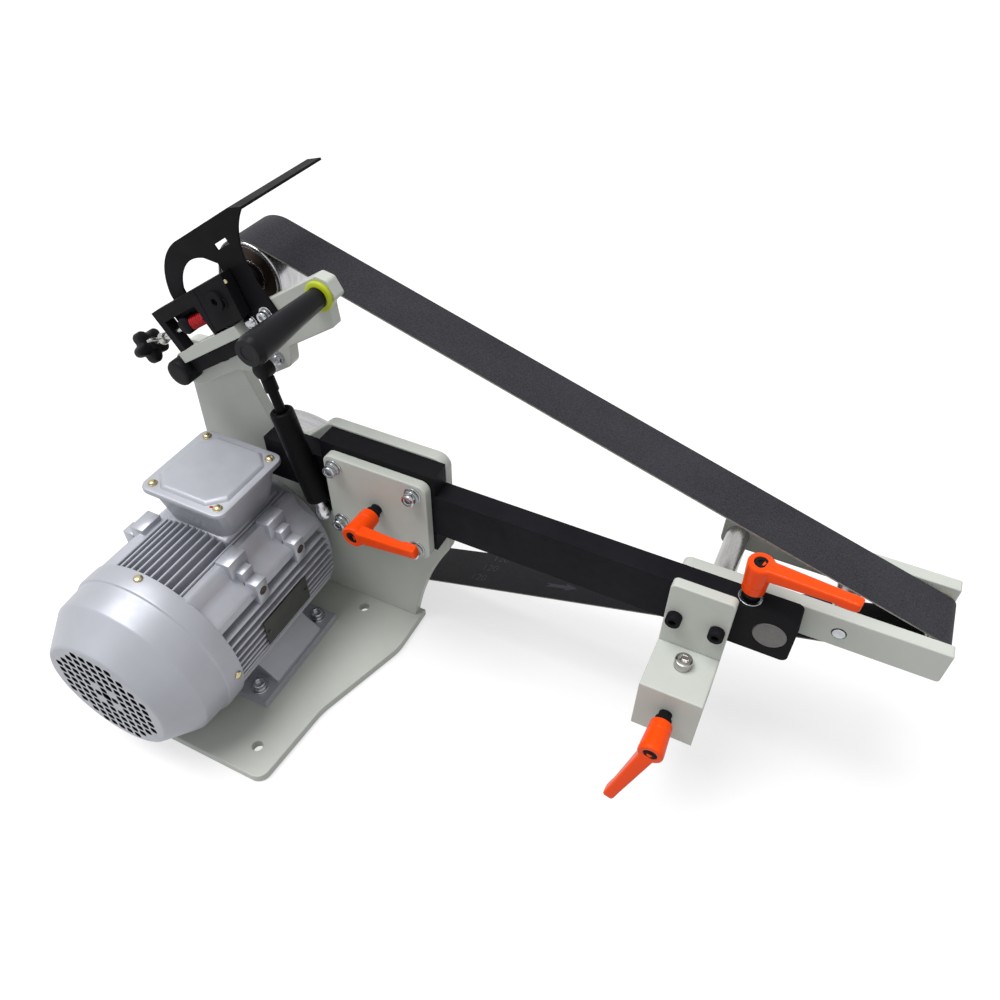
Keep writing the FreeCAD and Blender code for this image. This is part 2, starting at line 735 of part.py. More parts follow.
bearings = []
front_bearing_y = shield_y - 7
for label, start in (("front", front_bearing_y), ("rear", rear_shield_y)):
    ring = motor_rod("bearing_ring_" + label, start, bearing_r, bearing_wide)
    hole = motor_rod("bearing_hole_" + label, start, bearing_seat_r + running, bearing_wide)
    bearings.append(cut("bearing_" + label, ring, [hole]))
node("motor_bearings", grouped("motor_bearings", bearings))

core_y = shell_y - 22
stator = motor_rod("stator_outer", core_y, shell_inner, core_long)
stator_bore = motor_rod("stator_bore", core_y, core_r + air_gap, core_long)
node("stator_core", cut("stator_core", stator, [stator_bore]))

cover = turned("cover_turned", [
    (cover_r - cover_wall, 0), (cover_r, 0), (cover_r, cover_rim), (cover_mid_r, cover_rim + 3),
    (cover_mid_r - 2, cover_long - 30), (cover_face_r + 3, cover_long - 3), (cover_face_r, cover_long),
    (0, cover_long), (0, cover_long - cover_wall), (cover_face_r - 1, cover_long - cover_wall),
    (cover_mid_r - cover_wall - 2, cover_long - 31), (cover_mid_r - cover_wall, cover_rim + 2),
    (cover_r - cover_wall, cover_rim - 1)])
face_along(cover, "-Y", 0, aft(cover_start), axis_z)
grille_holes = []
steps = int(number(grille_r) / number(grille_pitch)) + 1
for row in range(-steps, steps + 1):
    for column in range(-steps, steps + 1):
        across = column + (row % 2) / 2
        if math.hypot(across, row * 0.87) * number(grille_pitch) + number(grille_hole_r) > number(grille_r):
            continue
        grille_holes.append(rod("grille_hole", (grille_pitch * across, aft(cover_end + 5),
                                                axis_z + grille_pitch * 0.87 * row), "-Y", grille_hole_r, 10))
cover_notch = [cone("cover_screw_hole", (0, 0, 0), "+Z", 2.6, 2.6, 20) for _ in range(3)]
cover_screw_angles = (2, 92, 268)
cover_screw_y = cover_start - 9
for hole, angle in zip(cover_notch, cover_screw_angles):
    turn = FreeCAD.Rotation(FreeCAD.Vector(0, 1, 0), angle)
    out = turn.multVec(FreeCAD.Vector(0, 0, 1))
    hole.Placement.Rotation = turn
    put(hole, cover_r * out.x - 10 * out.x, aft(cover_screw_y), axis_z + cover_r * out.z - 10 * out.z)
node("fan_cover", cut("fan_cover", cover, grille_holes + cover_notch))
cover_screws = []
for angle in cover_screw_angles:
    turn = FreeCAD.Rotation(FreeCAD.Vector(0, 1, 0), angle)
    out = turn.multVec(FreeCAD.Vector(0, 0, 1))
    shank = rod("cover_shank", (0, 0, 0), "+Z", 2.4, 8)
    shank.Placement.Rotation = turn
    put(shank, (cover_r - 8) * out.x, aft(cover_screw_y), axis_z + (cover_r - 8) * out.z)
    head = cone("cover_head", (0, 0, 0), "+Z", 4.4, 3, 2.6)
    head.Placement.Rotation = turn
    put(head, (cover_r + 0.05) * out.x, aft(cover_screw_y), axis_z + (cover_r + 0.05) * out.z)
    link = rod("cover_link", (0, 0, 0), "+Z", 2.4, 1)
    link.Placement.Rotation = turn
    put(link, (cover_r - 0.5) * out.x, aft(cover_screw_y), axis_z + (cover_r - 0.5) * out.z)
    cover_screws.append(joined("cover_screw", [shank, head, link]))

# terminal box: a tapered cast box with a flat lid
seat_z = axis_z + shell_r + 6
box_tall = above(box_top) - seat_z
outer = doc.addObject("Part::Wedge", "box_outer")
inner = doc.addObject("Part::Wedge", "box_inner")
for wedge, wall, floor in ((outer, 0, 0), (inner, 3, 4)):
    for prop, value in (("Xmin", -box_low + wall), ("Xmax", box_low - wall), ("Zmin", -box_low + wall),
                        ("Zmax", box_low - wall), ("X2min", -box_high + wall), ("X2max", box_high - wall),
                        ("Z2min", -box_high + wall), ("Z2max", box_high - wall), ("Ymin", floor),
                        ("Ymax", box_tall)):
        bind(wedge, prop, value)
    wedge.Placement.Rotation = FreeCAD.Rotation(FreeCAD.Vector(1, 0, 0), 90)
    put(wedge, 0, aft(-box_shift), seat_z)
gland_z = seat_z + box_tall / 2
gland_x = -(box_low + box_high) / 2
box_holes = [rod("gland_hole", (gland_x + 6, aft(-box_shift), gland_z), "-X", gland_r - 3, 12)]
box_corner = []
for across in (-1, 1):
    for along in (-1, 1):
        place = (across * lid_screw, aft(along * lid_screw - box_shift), seat_z + box_tall - 14)
        box_corner.append(rod("lid_post", place, "+Z", 4.5, 14))
        box_holes.append(rod("lid_tap", place, "+Z", 2.1, 14))
box_shell = joined("box_shell", [cut("box_hollow", outer, [inner])] + box_corner)
node("terminal_box", cut("terminal_box", box_shell, box_holes))

lid_z = seat_z + box_tall
lid_blank = plate("lid_blank", "XY_Plane",
                  [(-lid_half, -lid_half), (lid_half, -lid_half), (lid_half, lid_half), (-lid_half, lid_half)],
                  lid_thick - 3, [(index, 9) for index in range(4)], 1.5)
put(lid_blank, 0, aft(-box_shift), lid_z)
panel_half = lid_half - 7
panel_cut = 13
panel = plate("lid_panel", "XY_Plane", [
    (-panel_half + panel_cut, -panel_half), (panel_half - panel_cut, -panel_half),
    (panel_half, -panel_half + panel_cut), (panel_half, panel_half - panel_cut),
    (panel_half - panel_cut, panel_half), (-panel_half + panel_cut, panel_half),
    (-panel_half, panel_half - panel_cut), (-panel_half, -panel_half + panel_cut)], 4, (), 1.5)
put(panel, 0, aft(-box_shift), lid_z + lid_thick - 4)
lid_holes = []
lid_screws = []
for across in (-1, 1):
    for along in (-1, 1):
        x = across * lid_screw
        y = aft(along * lid_screw - box_shift)
        lid_holes.append(rod("lid_hole", (x, y, lid_z), "+Z", 2.2, lid_thick))
        lid_screws.append(joined("lid_screw", [
            rod("lid_shank", (x, y, lid_z - 10), "+Z", 2, 7 + lid_thick),
            cone("lid_head", (x, y, lid_z + lid_thick - 3), "+Z", 4.3, 3, 2.6)]))
node("terminal_lid", cut("terminal_lid", joined("lid_solid", [lid_blank, panel]), lid_holes))
node("motor_cover_screws", grouped("motor_cover_screws", cover_screws + lid_screws))

gland = turned("gland_turned", [
    (gland_bore_r, 0), (gland_r - 3.1, 0), (gland_r - 3.1, 8), (gland_r, 8), (gland_r, 15),
    (gland_r - 1.5, gland_long + 8), (gland_bore_r, gland_long + 8)])
face_along(gland, "-X", gland_x + 5, aft(-box_shift), gland_z)
node("cable_gland", gland)

name_tag = box("name_tag", (fin_r + 0.4, aft(-142), axis_z - 15), (1, 66, 32))
tag_rivets = [rod("tag_rivet", (fin_r + 1.2, aft(y), axis_z + 1), "+X", 1.7, 1.2) for y in (-138, -80)]
node("nameplate_blank", joined("nameplate_blank", [name_tag] + tag_rivets))

# ---------------------------------------------------------------- rotor: shaft, fan and drive wheel
core_end = core_y - core_long
shaft = turned("shaft_turned", [
    (0, 0), (shaft_r, 0), (shaft_r, shaft_out + shield_gap), (bearing_seat_r, shaft_out + shield_gap),
    (bearing_seat_r, shaft_out + shield_gap + shield_deep), (17, shaft_out + shield_gap + shield_deep + 1),
    (17, shaft_out - rear_shield_y - 2), (bearing_seat_r, shaft_out - rear_shield_y - 1),
    (bearing_seat_r, shaft_out - rear_shield_y + bearing_wide + 6), (10, shaft_out - rear_shield_y + 23),
    (10, shaft_out - rear_shield_y + 62), (0, shaft_out - rear_shield_y + 62)])
face_along(shaft, "-Y", 0, aft(shaft_out), axis_z)
key_wide = 8
key_y = shaft_out - 38
key_slot = box("key_slot", (-key_wide / 2, aft(key_y), axis_z + shaft_r - 4), (key_wide, 34, 10))
node("motor_shaft", cut("motor_shaft", shaft, [key_slot]))
key = box("key", (-key_wide / 2, aft(key_y), axis_z + shaft_r - 4), (key_wide, 34, 7))
node("drive_key", key)
rotor_solid = motor_rod("rotor_outer", core_y, core_r, core_long)
node("rotor_core", cut("rotor_core", rotor_solid, [motor_rod("rotor_bore", core_y, 17, core_long)]))

fan_y = rear_shield_y - 27
blades = []
for index in range(7):
    turn = FreeCAD.Rotation(FreeCAD.Vector(0, 1, 0), 360 / 7 * index)
    blade = doc.addObject("Part::Box", "fan_blade")
    bind(blade, "Length", 3)
    bind(blade, "Width", fan_wide)
    bind(blade, "Height", fan_r - 16)
    blade.Placement.Rotation = turn
    out = turn.multVec(FreeCAD.Vector(-1.5, 0, 16))
    put(blade, out.x, aft(fan_y - fan_wide), axis_z + out.z)
    blades.append(blade)
fan_disc = motor_rod("fan_disc", fan_y, fan_r - 14, 3)
fan_hub = motor_rod("fan_hub", fan_y, 18, fan_wide)
fan_solid = joined("fan_solid", [fan_disc, fan_hub] + blades)
node("cooling_fan", cut("cooling_fan", fan_solid, [motor_rod("fan_bore", fan_y, 10, fan_wide)]))

drive_start = belt_mid - drive_wide / 2
drive_wheel = turned("drive_turned", [
    (shaft_r, 0), (24, 0), (24, 14), (drive_r - 14, 14), (drive_r - 10, 0), (drive_r, 0),
    (drive_r, drive_wide), (drive_r - 10, drive_wide), (drive_r - 14, 26), (24, 26), (24, 38), (shaft_r, 38)])
face_along(drive_wheel, "+Y", 0, aft(drive_start), axis_z)
drive_key_cut = box("drive_key_cut", (-key_wide / 2, aft(drive_start), axis_z + shaft_r - 4),
                    (key_wide, 38, 7))
node("drive_wheel", cut("drive_wheel", drive_wheel, [drive_key_cut]))

# ---------------------------------------------------------------- ratchet levers


def ratchet_lever(number_of, turn, place, shank):
    """A ratchet lever: its handle casting and its black insert with the stud below it."""
    start = lever_collar_tall
    hub = cone("lever_hub", (0, 0, start), "+Z", lever_hub_low_r, lever_hub_high_r, lever_hub_tall)
    arm = doc.addObject("Part::Wedge", "lever_arm")
    arm_low_face = lever_hub_tall - lever_root_thick + start
    for prop, value in (("Ymin", 0), ("Ymax", lever_reach),
                        ("Xmin", lever_root_wide * -0.5), ("Xmax", lever_root_wide * 0.5),
                        ("X2min", lever_tip_wide * -0.5), ("X2max", lever_tip_wide * 0.5),
                        ("Zmin", 0), ("Zmax", lever_root_thick),
                        ("Z2min", lever_rise), ("Z2max", lever_rise + lever_tip_thick)):
        bind(arm, prop, value)
    arm.Placement.Rotation = FreeCAD.Rotation(FreeCAD.Vector(0, 0, 1), -90)
    put(arm, 0, 0, arm_low_face)
    hollow = rod("lever_hollow", (0, 0, start), "+Z", 5.2, lever_hub_tall)
    cap_seat = rod("lever_cap_seat", (0, 0, start + lever_hub_tall), "+Z", 5.7, lever_rise)
    handle = cut("lever_handle_%d" % number_of, joined("lever_casting", [hub, arm]), [hollow, cap_seat])
    insert = joined("insert_blank", [
        rod("insert_collar", (0, 0, 0), "+Z", lever_collar_r, lever_collar_tall),
        rod("insert_core", (0, 0, 0), "+Z", 5, lever_collar_tall + lever_hub_tall),
        rod("insert_stud", (0, 0, -shank), "+Z", lever_stud_r, shank),
        rod("insert_cap", (0, 0, start + lever_hub_tall), "+Z", 5.5, 2)])
    cap_socket = rod("insert_socket", (0, 0, start + lever_hub_tall), "+Z", 2.6, 2)
    insert = cut("lever_insert_%d" % number_of, insert, [cap_socket])
    for item in (handle, insert):
        item.Placement.Rotation = turn
        put(item, *place)
    node("lever_handle_%d" % number_of, handle)
    node("lever_insert_%d" % number_of, insert)


towards_viewer = TURNS["-Y"]
lever_one_turn = towards_viewer.multiply(FreeCAD.Rotation(FreeCAD.Vector(0, 0, 1), lever_one_angle))
ratchet_lever(1, lever_one_turn, (clamp_x, clamp_y, above(clamp_z)), clamp_thick)
lever_two_y = arm_thick / -2
lever_two_turn = FreeCAD.Rotation(FreeCAD.Vector(0, 0, 1), lever_two_angle)
ratchet_lever(2, lever_two_turn, (lever_two_x, aft(lever_two_y), above(arm_low + arm_tall)), 9)
rest_face = -arm_thick - rest_plate_thick
rest_x = (rest_left + rest_right) / 2
lever_three_turn = towards_viewer.multiply(FreeCAD.Rotation(FreeCAD.Vector(0, 0, 1), lever_three_angle))
ratchet_lever(3, lever_three_turn, (rest_x, aft(rest_face - rest_block_deep), above(rest_bore_z)), 9)

# ---------------------------------------------------------------- tool arm and its end block
arm_y = -arm_thick
stud_hole_r = lever_stud_r + running
arm_bar = box("arm_bar", (arm_left, aft(arm_y), above(arm_low)), (arm_seam - arm_left, arm_thick, arm_tall))
rest_screw_x = (rest_left + rest_screw_inset, rest_right - rest_screw_inset)
arm_holes = [rod("rest_tap", (x, aft(arm_y), above(rest_screw_z)), "+Y", bolt_r + fit_gap, 14)
             for x in rest_screw_x]
node("tool_arm_bar", cut("tool_arm_bar", arm_bar, arm_holes))
end_block = plate("end_block_blank", "XZ_Plane", [(arm_seam, arm_low), (arm_right, arm_low),
                                                  (arm_right, arm_low + arm_tall), (arm_seam, arm_low + arm_tall)],
                  arm_thick, ((1, end_block_round), (2, end_block_round)))
put(end_block, 0, aft(arm_y), base_thick)
end_holes = [
    rod("swivel_bore", (swivel_x, aft(arm_y), above(swivel_z)), "+Y", swivel_pin_r + running, arm_thick),
    rod("end_stud_hole", (lever_two_x, aft(lever_two_y), above(arm_low + arm_tall)), "-Z", stud_hole_r, 9),
    rod("seam_tap", (rest_screw_x[1], aft(arm_y), above(rest_screw_z)), "+Y", bolt_r + fit_gap, 14)]
node("arm_end_block", cut("arm_end_block", end_block, end_holes))

rest_plate = plate("rest_plate_blank", "XZ_Plane",
                   [(rest_left, rest_low), (rest_right, rest_low), (rest_right, rest_high), (rest_left, rest_high)],
                   rest_plate_thick, ((2, 5), (3, 5)), plate_edge_round)
put(rest_plate, 0, aft(rest_face), base_thick)
rest_holes = [rod("rest_hole", (x, aft(rest_face), above(rest_screw_z)), "+Y", bolt_r + fit_gap, rest_plate_thick)
              for x in rest_screw_x]
node("rest_plate", cut("rest_plate", rest_plate, rest_holes))
rest_front = rest_face - rest_block_deep
rest_block = plate("rest_block_blank", "XY_Plane",
                   [(rest_left, rest_front), (rest_right, rest_front), (rest_right, rest_face),
                    (rest_left, rest_face)], rest_block_high - rest_low, (), plate_edge_round)
put(rest_block, 0, face_y, above(rest_low))
bar_bore_y = rest_front + rest_bore_y
rest_bores = [
    rod("bar_bore", (rest_left, aft(bar_bore_y), above(rest_bore_z)), "+X", rest_bore_r, rest_right - rest_left),
    rod("rest_stud_hole", (rest_x, aft(rest_front), above(rest_bore_z)), "+Y", stud_hole_r, 9.2),
    rod("rest_top_tap", (rest_x, aft(bar_bore_y), above(rest_block_high)), "-Z", bolt_r + fit_gap, 12)]
node("rest_block", cut("rest_block", rest_block, rest_bores))
rest_screws = [cap_screw("rest_screw", (x, aft(rest_face), above(rest_screw_z)), "+Y", rest_plate_thick + 12,
                         head=9) for x in rest_screw_x]
rest_screws.append(cap_screw("rest_block_screw", (rest_x, aft(bar_bore_y), above(rest_block_high)), "-Z",
                             11, head_r=7, head=9))
node("rest_screws", grouped("rest_screws", rest_screws))

# ---------------------------------------------------------------- fork with the contact tip
fork_back = fork_thick + fork_open
front_fork = plate("fork_front_blank", "XZ_Plane",
                   [(fork_left, fork_low), (fork_right, fork_low), (fork_right, fork_high),
                    (fork_left, fork_high)], fork_thick, ((0, 7), (1, 3), (2, 2), (3, 7)), plate_edge_round)
put(front_fork, 0, aft(running), base_thick)
back_fork = plate("fork_back_blank", "XZ_Plane",
                  [(fork_back_left, fork_low), (fork_right, fork_low), (fork_right, fork_high),
                   (fork_back_left, fork_high)], fork_thick, ((0, 7), (1, 3), (2, 2), (3, 7)), plate_edge_round)
put(back_fork, 0, aft(fork_back + running), base_thick)
spacer_screw_r = 3
front_holes = [rod("swivel_seat", (swivel_x, aft(running), above(swivel_z)), "+Y", swivel_pin_r - 4 + fit_gap,
                   fork_thick)]
back_holes = []
spacers = []
fork_screws = []
for x in (spacer_one_x, spacer_two_x):
    for holes, start in ((front_holes, running), (back_holes, fork_back + running)):
        holes.append(rod("spacer_hole", (x, aft(start), above(spacer_z)), "+Y", spacer_screw_r + fit_gap,
                         fork_thick))
    spacer = rod("spacer_bar", (x, aft(fork_thick + running), above(spacer_z)), "+Y", spacer_r, fork_open)
    spacer_tap = rod("spacer_tap", (x, aft(fork_thick + running), above(spacer_z)), "+Y",
                     spacer_screw_r + fit_gap, fork_open)
    spacers.append(cut("spacer", spacer, [spacer_tap]))
    back_face = fork_back + fork_thick + running
    back_screw = joined("fork_screw", [
        rod("fork_shank", (x, aft(back_face), above(spacer_z)), "-Y", spacer_screw_r, fork_thick + 18),
        cone("fork_head", (x, aft(back_face), above(spacer_z)), "+Y", 5.5, 4, 3)])
    fork_screws.append(back_screw)
# the outer spacer's front screw stands in its counterbore; the inner one is hidden by the arm
front_holes.append(rod("counterbore", (spacer_two_x, aft(running), above(spacer_z)), "+Y", 6, 4))
fork_screws.append(joined("fork_front_screw", [
    rod("fork_front_shank", (spacer_two_x, aft(4 + running), above(spacer_z)), "+Y", spacer_screw_r, fork_thick + 8),
    rod("fork_front_head", (spacer_two_x, aft(4 + running), above(spacer_z)), "-Y", 5, 4.6)]))
# the front plate's axle hole is blind, so its outer face stays whole
front_holes.append(rod("axle_pocket", (tip_x, aft(axle_start - fit_gap), above(tip_z)), "+Y", tip_axle_r + running,
                       fork_thick))
back_holes.append(rod("axle_hole", (tip_x, aft(fork_back + running), above(tip_z)), "+Y", tip_axle_r + running,
                      fork_thick))
node("fork_front_plate", cut("fork_front_plate", front_fork, front_holes))
node("fork_back_plate", cut("fork_back_plate", back_fork, back_holes))
node("fork_spacers", grouped("fork_spacers", spacers))
node("fork_screws", grouped("fork_screws", fork_screws))
swivel_pin = turned("swivel_turned", [
    (0, 0), (swivel_pin_r - 1, 0), (swivel_pin_r, 1), (swivel_pin_r, arm_thick + 0.5),
    (swivel_pin_r - 4, arm_thick + 0.5), (swivel_pin_r - 4, arm_thick + 0.5 + fork_thick - 1),
    (0, arm_thick + 0.5 + fork_thick - 1)])
face_along(swivel_pin, "+Y", swivel_x, aft(arm_y - 0.45), above(swivel_z))
node("swivel_pin", swivel_pin)

roller_wide = 52
roller_start = belt_mid - roller_wide / 2
axle_long = fork_back + fork_thick + 8 - axle_start
tip_axle = joined("tip_axle", [
    rod("tip_axle_bar", (tip_x, aft(axle_start), above(tip_z)), "+Y", tip_axle_r, axle_long),
    rod("tip_axle_nut", (tip_x, aft(fork_back + fork_thick + running), above(tip_z)), "+Y", 7, 5)])
node("tip_axle", tip_axle)
tip_roller = turned("tip_turned", [
    (tip_axle_r + running, 0), (tip_r, 0), (tip_r, roller_wide), (tip_axle_r + running, roller_wide)])
face_along(tip_roller, "+Y", tip_x, aft(roller_start), above(tip_z))
node("tip_roller", tip_roller)

# ---------------------------------------------------------------- tension arm, in its own frame
arm_back = -tension_gap
arm_front = arm_back - tension_thick
half = tension_half
arm_corners = [
    (-half, -half), (52, -half), (lobe_u - 22, lobe_w - 12), (lobe_u + 8, lobe_w - 12), (lobe_u + 20, -half),
    (194.5, -half), (203.5, -5), (tension_long - 1, -2.3), (tension_long, 13), (tension_long - 8, tension_top),
    (128, tension_top), (104, tension_shelf), (-half, tension_shelf)]
tension_blank = plate("tension_blank", "XZ_Plane", arm_corners, tension_thick,
                      ((0, 17), (1, 30), (2, 12), (3, 12), (5, 3), (6, 6), (7, 3), (8, 4), (9, 5), (11, 10),
                       (12, 15)), plate_edge_round)
put(tension_blank, 0, arm_front, 0)
tension_holes = [
    rod("pivot_hole", (0, arm_front, 0), "+Y", pivot_bolt_r + running, tension_thick),
    rod("handle_hole", (handle_u, arm_front, handle_w), "+Y", 4 + fit_gap, tension_thick),
    rod("lobe_hole", (lobe_u, arm_front, lobe_w), "+Y", 4 + fit_gap, tension_thick),
    rod("dome_hole_one", (dome_one_u, arm_front, dome_w), "+Y", 2.5 + fit_gap, tension_thick),
    rod("dome_hole_two", (dome_two_u, arm_front, dome_w), "+Y", 2.5 + fit_gap, tension_thick)]
node("tension_arm", arm_frame(cut("tension_arm", tension_blank, tension_holes)))

# the pivot bolt stands still in the upright plate, with a spacing washer and a round cap
pivot_stack = [
    rod("pivot_shank", (pivot_x, face_y + plate_thick, above(pivot_z)), "-Y", pivot_bolt_r,
        plate_thick + tension_gap + tension_thick + 4),
    rod("pivot_cap", (pivot_x, aft(arm_front - running * 4), above(pivot_z)), "-Y", cap_r, cap_long)]
node("pivot_bolt", joined("pivot_bolt", pivot_stack))

handle = turned("handle_turned", [
    (4 + running, 0), (handle_root_r, 0), (handle_end_r, handle_long - 2), (handle_end_r - 2, handle_long),
    (5, handle_long), (5, handle_long - 8), (4 + running, handle_long - 8)])
handle.Placement.Rotation = TURNS["-Y"]
put(handle, handle_u, arm_front - ring_thick, handle_w)
node("tension_handle", arm_frame(grouped("tension_handle", [handle])))
ring = rod("ring_disc", (handle_u, arm_front, handle_w), "-Y", ring_r, ring_thick)
ring_hole = rod("ring_hole", (handle_u, arm_front, handle_w), "-Y", 4 + running, ring_thick)
node("tension_handle_ring", arm_frame(cut("tension_handle_ring", ring, [ring_hole])))
handle_bolt = joined("handle_bolt", [
    rod("handle_bolt_shank", (handle_u, arm_back, handle_w), "-Y", 4, tension_thick + ring_thick + handle_long - 8),
    rod("handle_nut", (handle_u, arm_back, handle_w), "+Y", handle_nut_r, handle_nut_tall),
    rod("handle_bolt_head", (handle_u, arm_front - ring_thick - handle_long + 8, handle_w), "-Y", 4.9, 4)])

# ---------------------------------------------------------------- belt guard
guard_front = arm_front - guard_gap - guard_thick
guard_corners = [
    (60, 6), (150, 6), (150, 28, -58), (184, 88.5), (185.5, 90), (171, 94.6), (98, 95.3, 57), (43, 62), (40, 48),
    (60, 48), (62.6, 60.6, -40), (112, 73), (123, 64), (122, 46), (60, 46)]
guard_blank = plate("guard_blank", "XZ_Plane", guard_corners, guard_thick)
put(guard_blank, 0, guard_front, 0)
strip_corners = [(170.4, 92.7), (184.9, 88.1), (185.5, 90), (171, 94.6)]
strip = plate("guard_strip", "XZ_Plane", strip_corners, guard_strip)
put(strip, 0, guard_front, 0)
guard_window = box("guard_window", (132, guard_front, 72.4), (17.5, guard_thick, 5))
axle_u = (tracking_x - pivot_x) * cos_tilt + (tracking_z - pivot_z) * sin_tilt
axle_w = (tracking_z - pivot_z) * cos_tilt - (tracking_x - pivot_x) * sin_tilt
guard_holes = [
    guard_window,
    rod("guard_axle_hole", (axle_u, guard_front, axle_w), "+Y", boss_r + 2, guard_thick),
    rod("guard_hole_one", (dome_one_u, guard_front, dome_w), "+Y", 2.5 + fit_gap, guard_thick),
    rod("guard_hole_two", (dome_two_u, guard_front, dome_w), "+Y", 2.5 + fit_gap, guard_thick)]
node("belt_guard", arm_frame(cut("belt_guard", joined("guard_solid", [guard_blank, strip]), guard_holes)))

# ---------------------------------------------------------------- tracking unit
bracket_back = guard_front - block_gap
bracket_front = bracket_back - bracket_deep
screw_y = bracket_front + bracket_deep / 2
rail_low = 5.5
rail = box("rail_bar", (15, bracket_front, rail_low), (93, bracket_deep + block_gap - 0.4, bracket_low - rail_low))
node("tracking_rail", arm_frame(grouped("tracking_rail", [rail])))
pad = box("pad_bar", (16, arm_front - 11, -8), (88, 11, rail_low + 8))
bracket_blank = plate("bracket_blank", "XZ_Plane", [
    (bracket_left, bracket_low), (bracket_right - block_slant, bracket_low), (bracket_right, bracket_high),
    (bracket_left, bracket_high)], bracket_deep)
put(bracket_blank, 0, bracket_front, 0)
bracket_mouth = box("bracket_mouth", (bracket_left + bracket_wall, bracket_front, bracket_low),
                    (bracket_right - bracket_left - bracket_wall - bracket_end_wall, bracket_deep,
                     bracket_high - bracket_low - bracket_wall - 3))
bracket_screw_hole = rod("bracket_screw_hole", (bracket_left, screw_y, screw_w), "+X", screw_r + running,
                         bracket_right - bracket_left)
bracket = cut("bracket", bracket_blank, [bracket_mouth, bracket_screw_hole])
bracket_web = box("bracket_web", (30, bracket_back, 36), (46, block_gap - 0.4, 18))
node("tracking_bracket", arm_frame(grouped("tracking_bracket", [joined("bracket_whole", [bracket, bracket_web]), pad])))

block_left = bracket_right + 1
block_blank = plate("block_blank", "XZ_Plane", [
    (block_left - block_slant, bracket_low + 2), (block_right - block_slant, bracket_low + 2),
    (block_right, bracket_high), (block_left, bracket_high)], bracket_deep)
put(block_blank, 0, bracket_front, 0)
boss_end = belt_mid - wheel_wide / 2 - 0.5
boss = rod("axle_boss", (axle_u, bracket_back, axle_w), "+Y", boss_r, boss_end - bracket_back)
block_bore = rod("block_bore", (axle_u, bracket_front, axle_w), "+Y", axle_r + fit_gap, boss_end - bracket_front)
node("tracking_block", arm_frame(cut("tracking_block", joined("block_solid", [block_blank, boss]), [block_bore])))
wheel_start = belt_mid - wheel_wide / 2
axle_end = belt_mid + wheel_wide / 2 + 0.5
axle = joined("axle_blank", [
    rod("axle_bar", (axle_u, bracket_front, axle_w), "+Y", axle_r, axle_end - bracket_front + 3),
    rod("axle_head", (axle_u, bracket_front, axle_w), "-Y", axle_r + 2.5, 3),
    rod("axle_nut", (axle_u, axle_end, axle_w), "+Y", axle_r + 3.5, 5)])
axle_socket = rod("axle_socket", (axle_u, bracket_front - 3, axle_w), "+Y", 3.2, 3)
node("tracking_axle", arm_frame(cut("tracking_axle_cut", axle, [axle_socket])))
wheel = turned("wheel_turned", [
    (axle_r + running, 0), (15, 0), (15, 3), (tracking_r - 6, 3), (tracking_r - 5, 0), (tracking_r - 0.8, 0),
    (tracking_r, 2), (tracking_r, wheel_wide - 2), (tracking_r - 0.8, wheel_wide), (tracking_r - 5, wheel_wide),
    (tracking_r - 6, wheel_wide - 3), (15, wheel_wide - 3), (15, wheel_wide), (axle_r + running, wheel_wide)])
wheel.Placement.Rotation = TURNS["+Y"]
put(wheel, axle_u, wheel_start, axle_w)
node("tracking_wheel", arm_frame(grouped("tracking_wheel", [wheel])))

spring_start = 54
spring_end = bracket_right - bracket_end_wall
spring_tube = rod("spring_tube", (spring_start, screw_y, screw_w), "+X", spring_r, spring_end - spring_start)
spring_bore = rod("spring_bore", (spring_start, screw_y, screw_w), "+X", screw_r + 0.5, spring_end - spring_start)
node("tracking_spring", arm_frame(cut("tracking_spring", spring_tube, [spring_bore])))

star_hub = rod("star_hub", (star_u - star_wide / 2, screw_y, screw_w), "+X", star_r * 0.62, star_wide)
star_lobes = []
for index in range(5):
    angle = 2 * math.pi * index / 5
    star_lobes.append(rod("star_lobe", (
        star_u - star_wide / 2 + 2, screw_y + (star_r - star_lobe_r) * math.sin(angle),
        screw_w + (star_r - star_lobe_r) * math.cos(angle)), "+X", star_lobe_r, star_wide - 4))
star_collar = rod("star_collar", (star_u + star_wide / 2, screw_y, screw_w), "+X", 6, 5)
node("star_knob", arm_frame(joined("star_knob", [star_hub, star_collar] + star_lobes)))
screw_start = star_u + star_wide / 2 + 5
block_lean = block_slant * (bracket_high - screw_w) / (bracket_high - bracket_low - 2)
screw_bar = rod("screw_bar", (screw_start, screw_y, screw_w), "+X", screw_r,
                block_left - block_lean - screw_tip_gap - screw_start)
screw_disc = rod("screw_disc", (48, screw_y, screw_w), "+X", 5.4, 4)
node("tracking_screw", arm_frame(joined("tracking_screw", [screw_bar, screw_disc])))
wing_u = 2
wing_hub = rod("wing_hub", (wing_u, screw_y, screw_w), "+X", 5.5, 6)
wings = [box("wing", (wing_u, screw_y - 1.5, screw_w + side * 9 - 6), (6, 3, 12)) for side in (-1, 1)]
wing_hole = rod("wing_hole", (wing_u, screw_y, screw_w), "+X", screw_r + running, 6)
node("wing_nut", arm_frame(cut("wing_nut", joined("wing_solid", [wing_hub] + wings), [wing_hole])))

# ---------------------------------------------------------------- strut
lobe_x = pivot_x + lobe_u * cos_tilt - lobe_w * sin_tilt
lobe_z = pivot_z + lobe_u * sin_tilt + lobe_w * cos_tilt
lean = (strut_foot_x - lobe_x) / (lobe_z - strut_foot_z)
lean_angle = Size(math.degrees(math.atan(lean.number)), "atan(%s)" % lean.text)
span = lobe_z - strut_foot_z
strut_long = Size(span.number / math.cos(math.atan(lean.number)), "(%s / cos(atan(%s)))" % (span.text, lean.text))


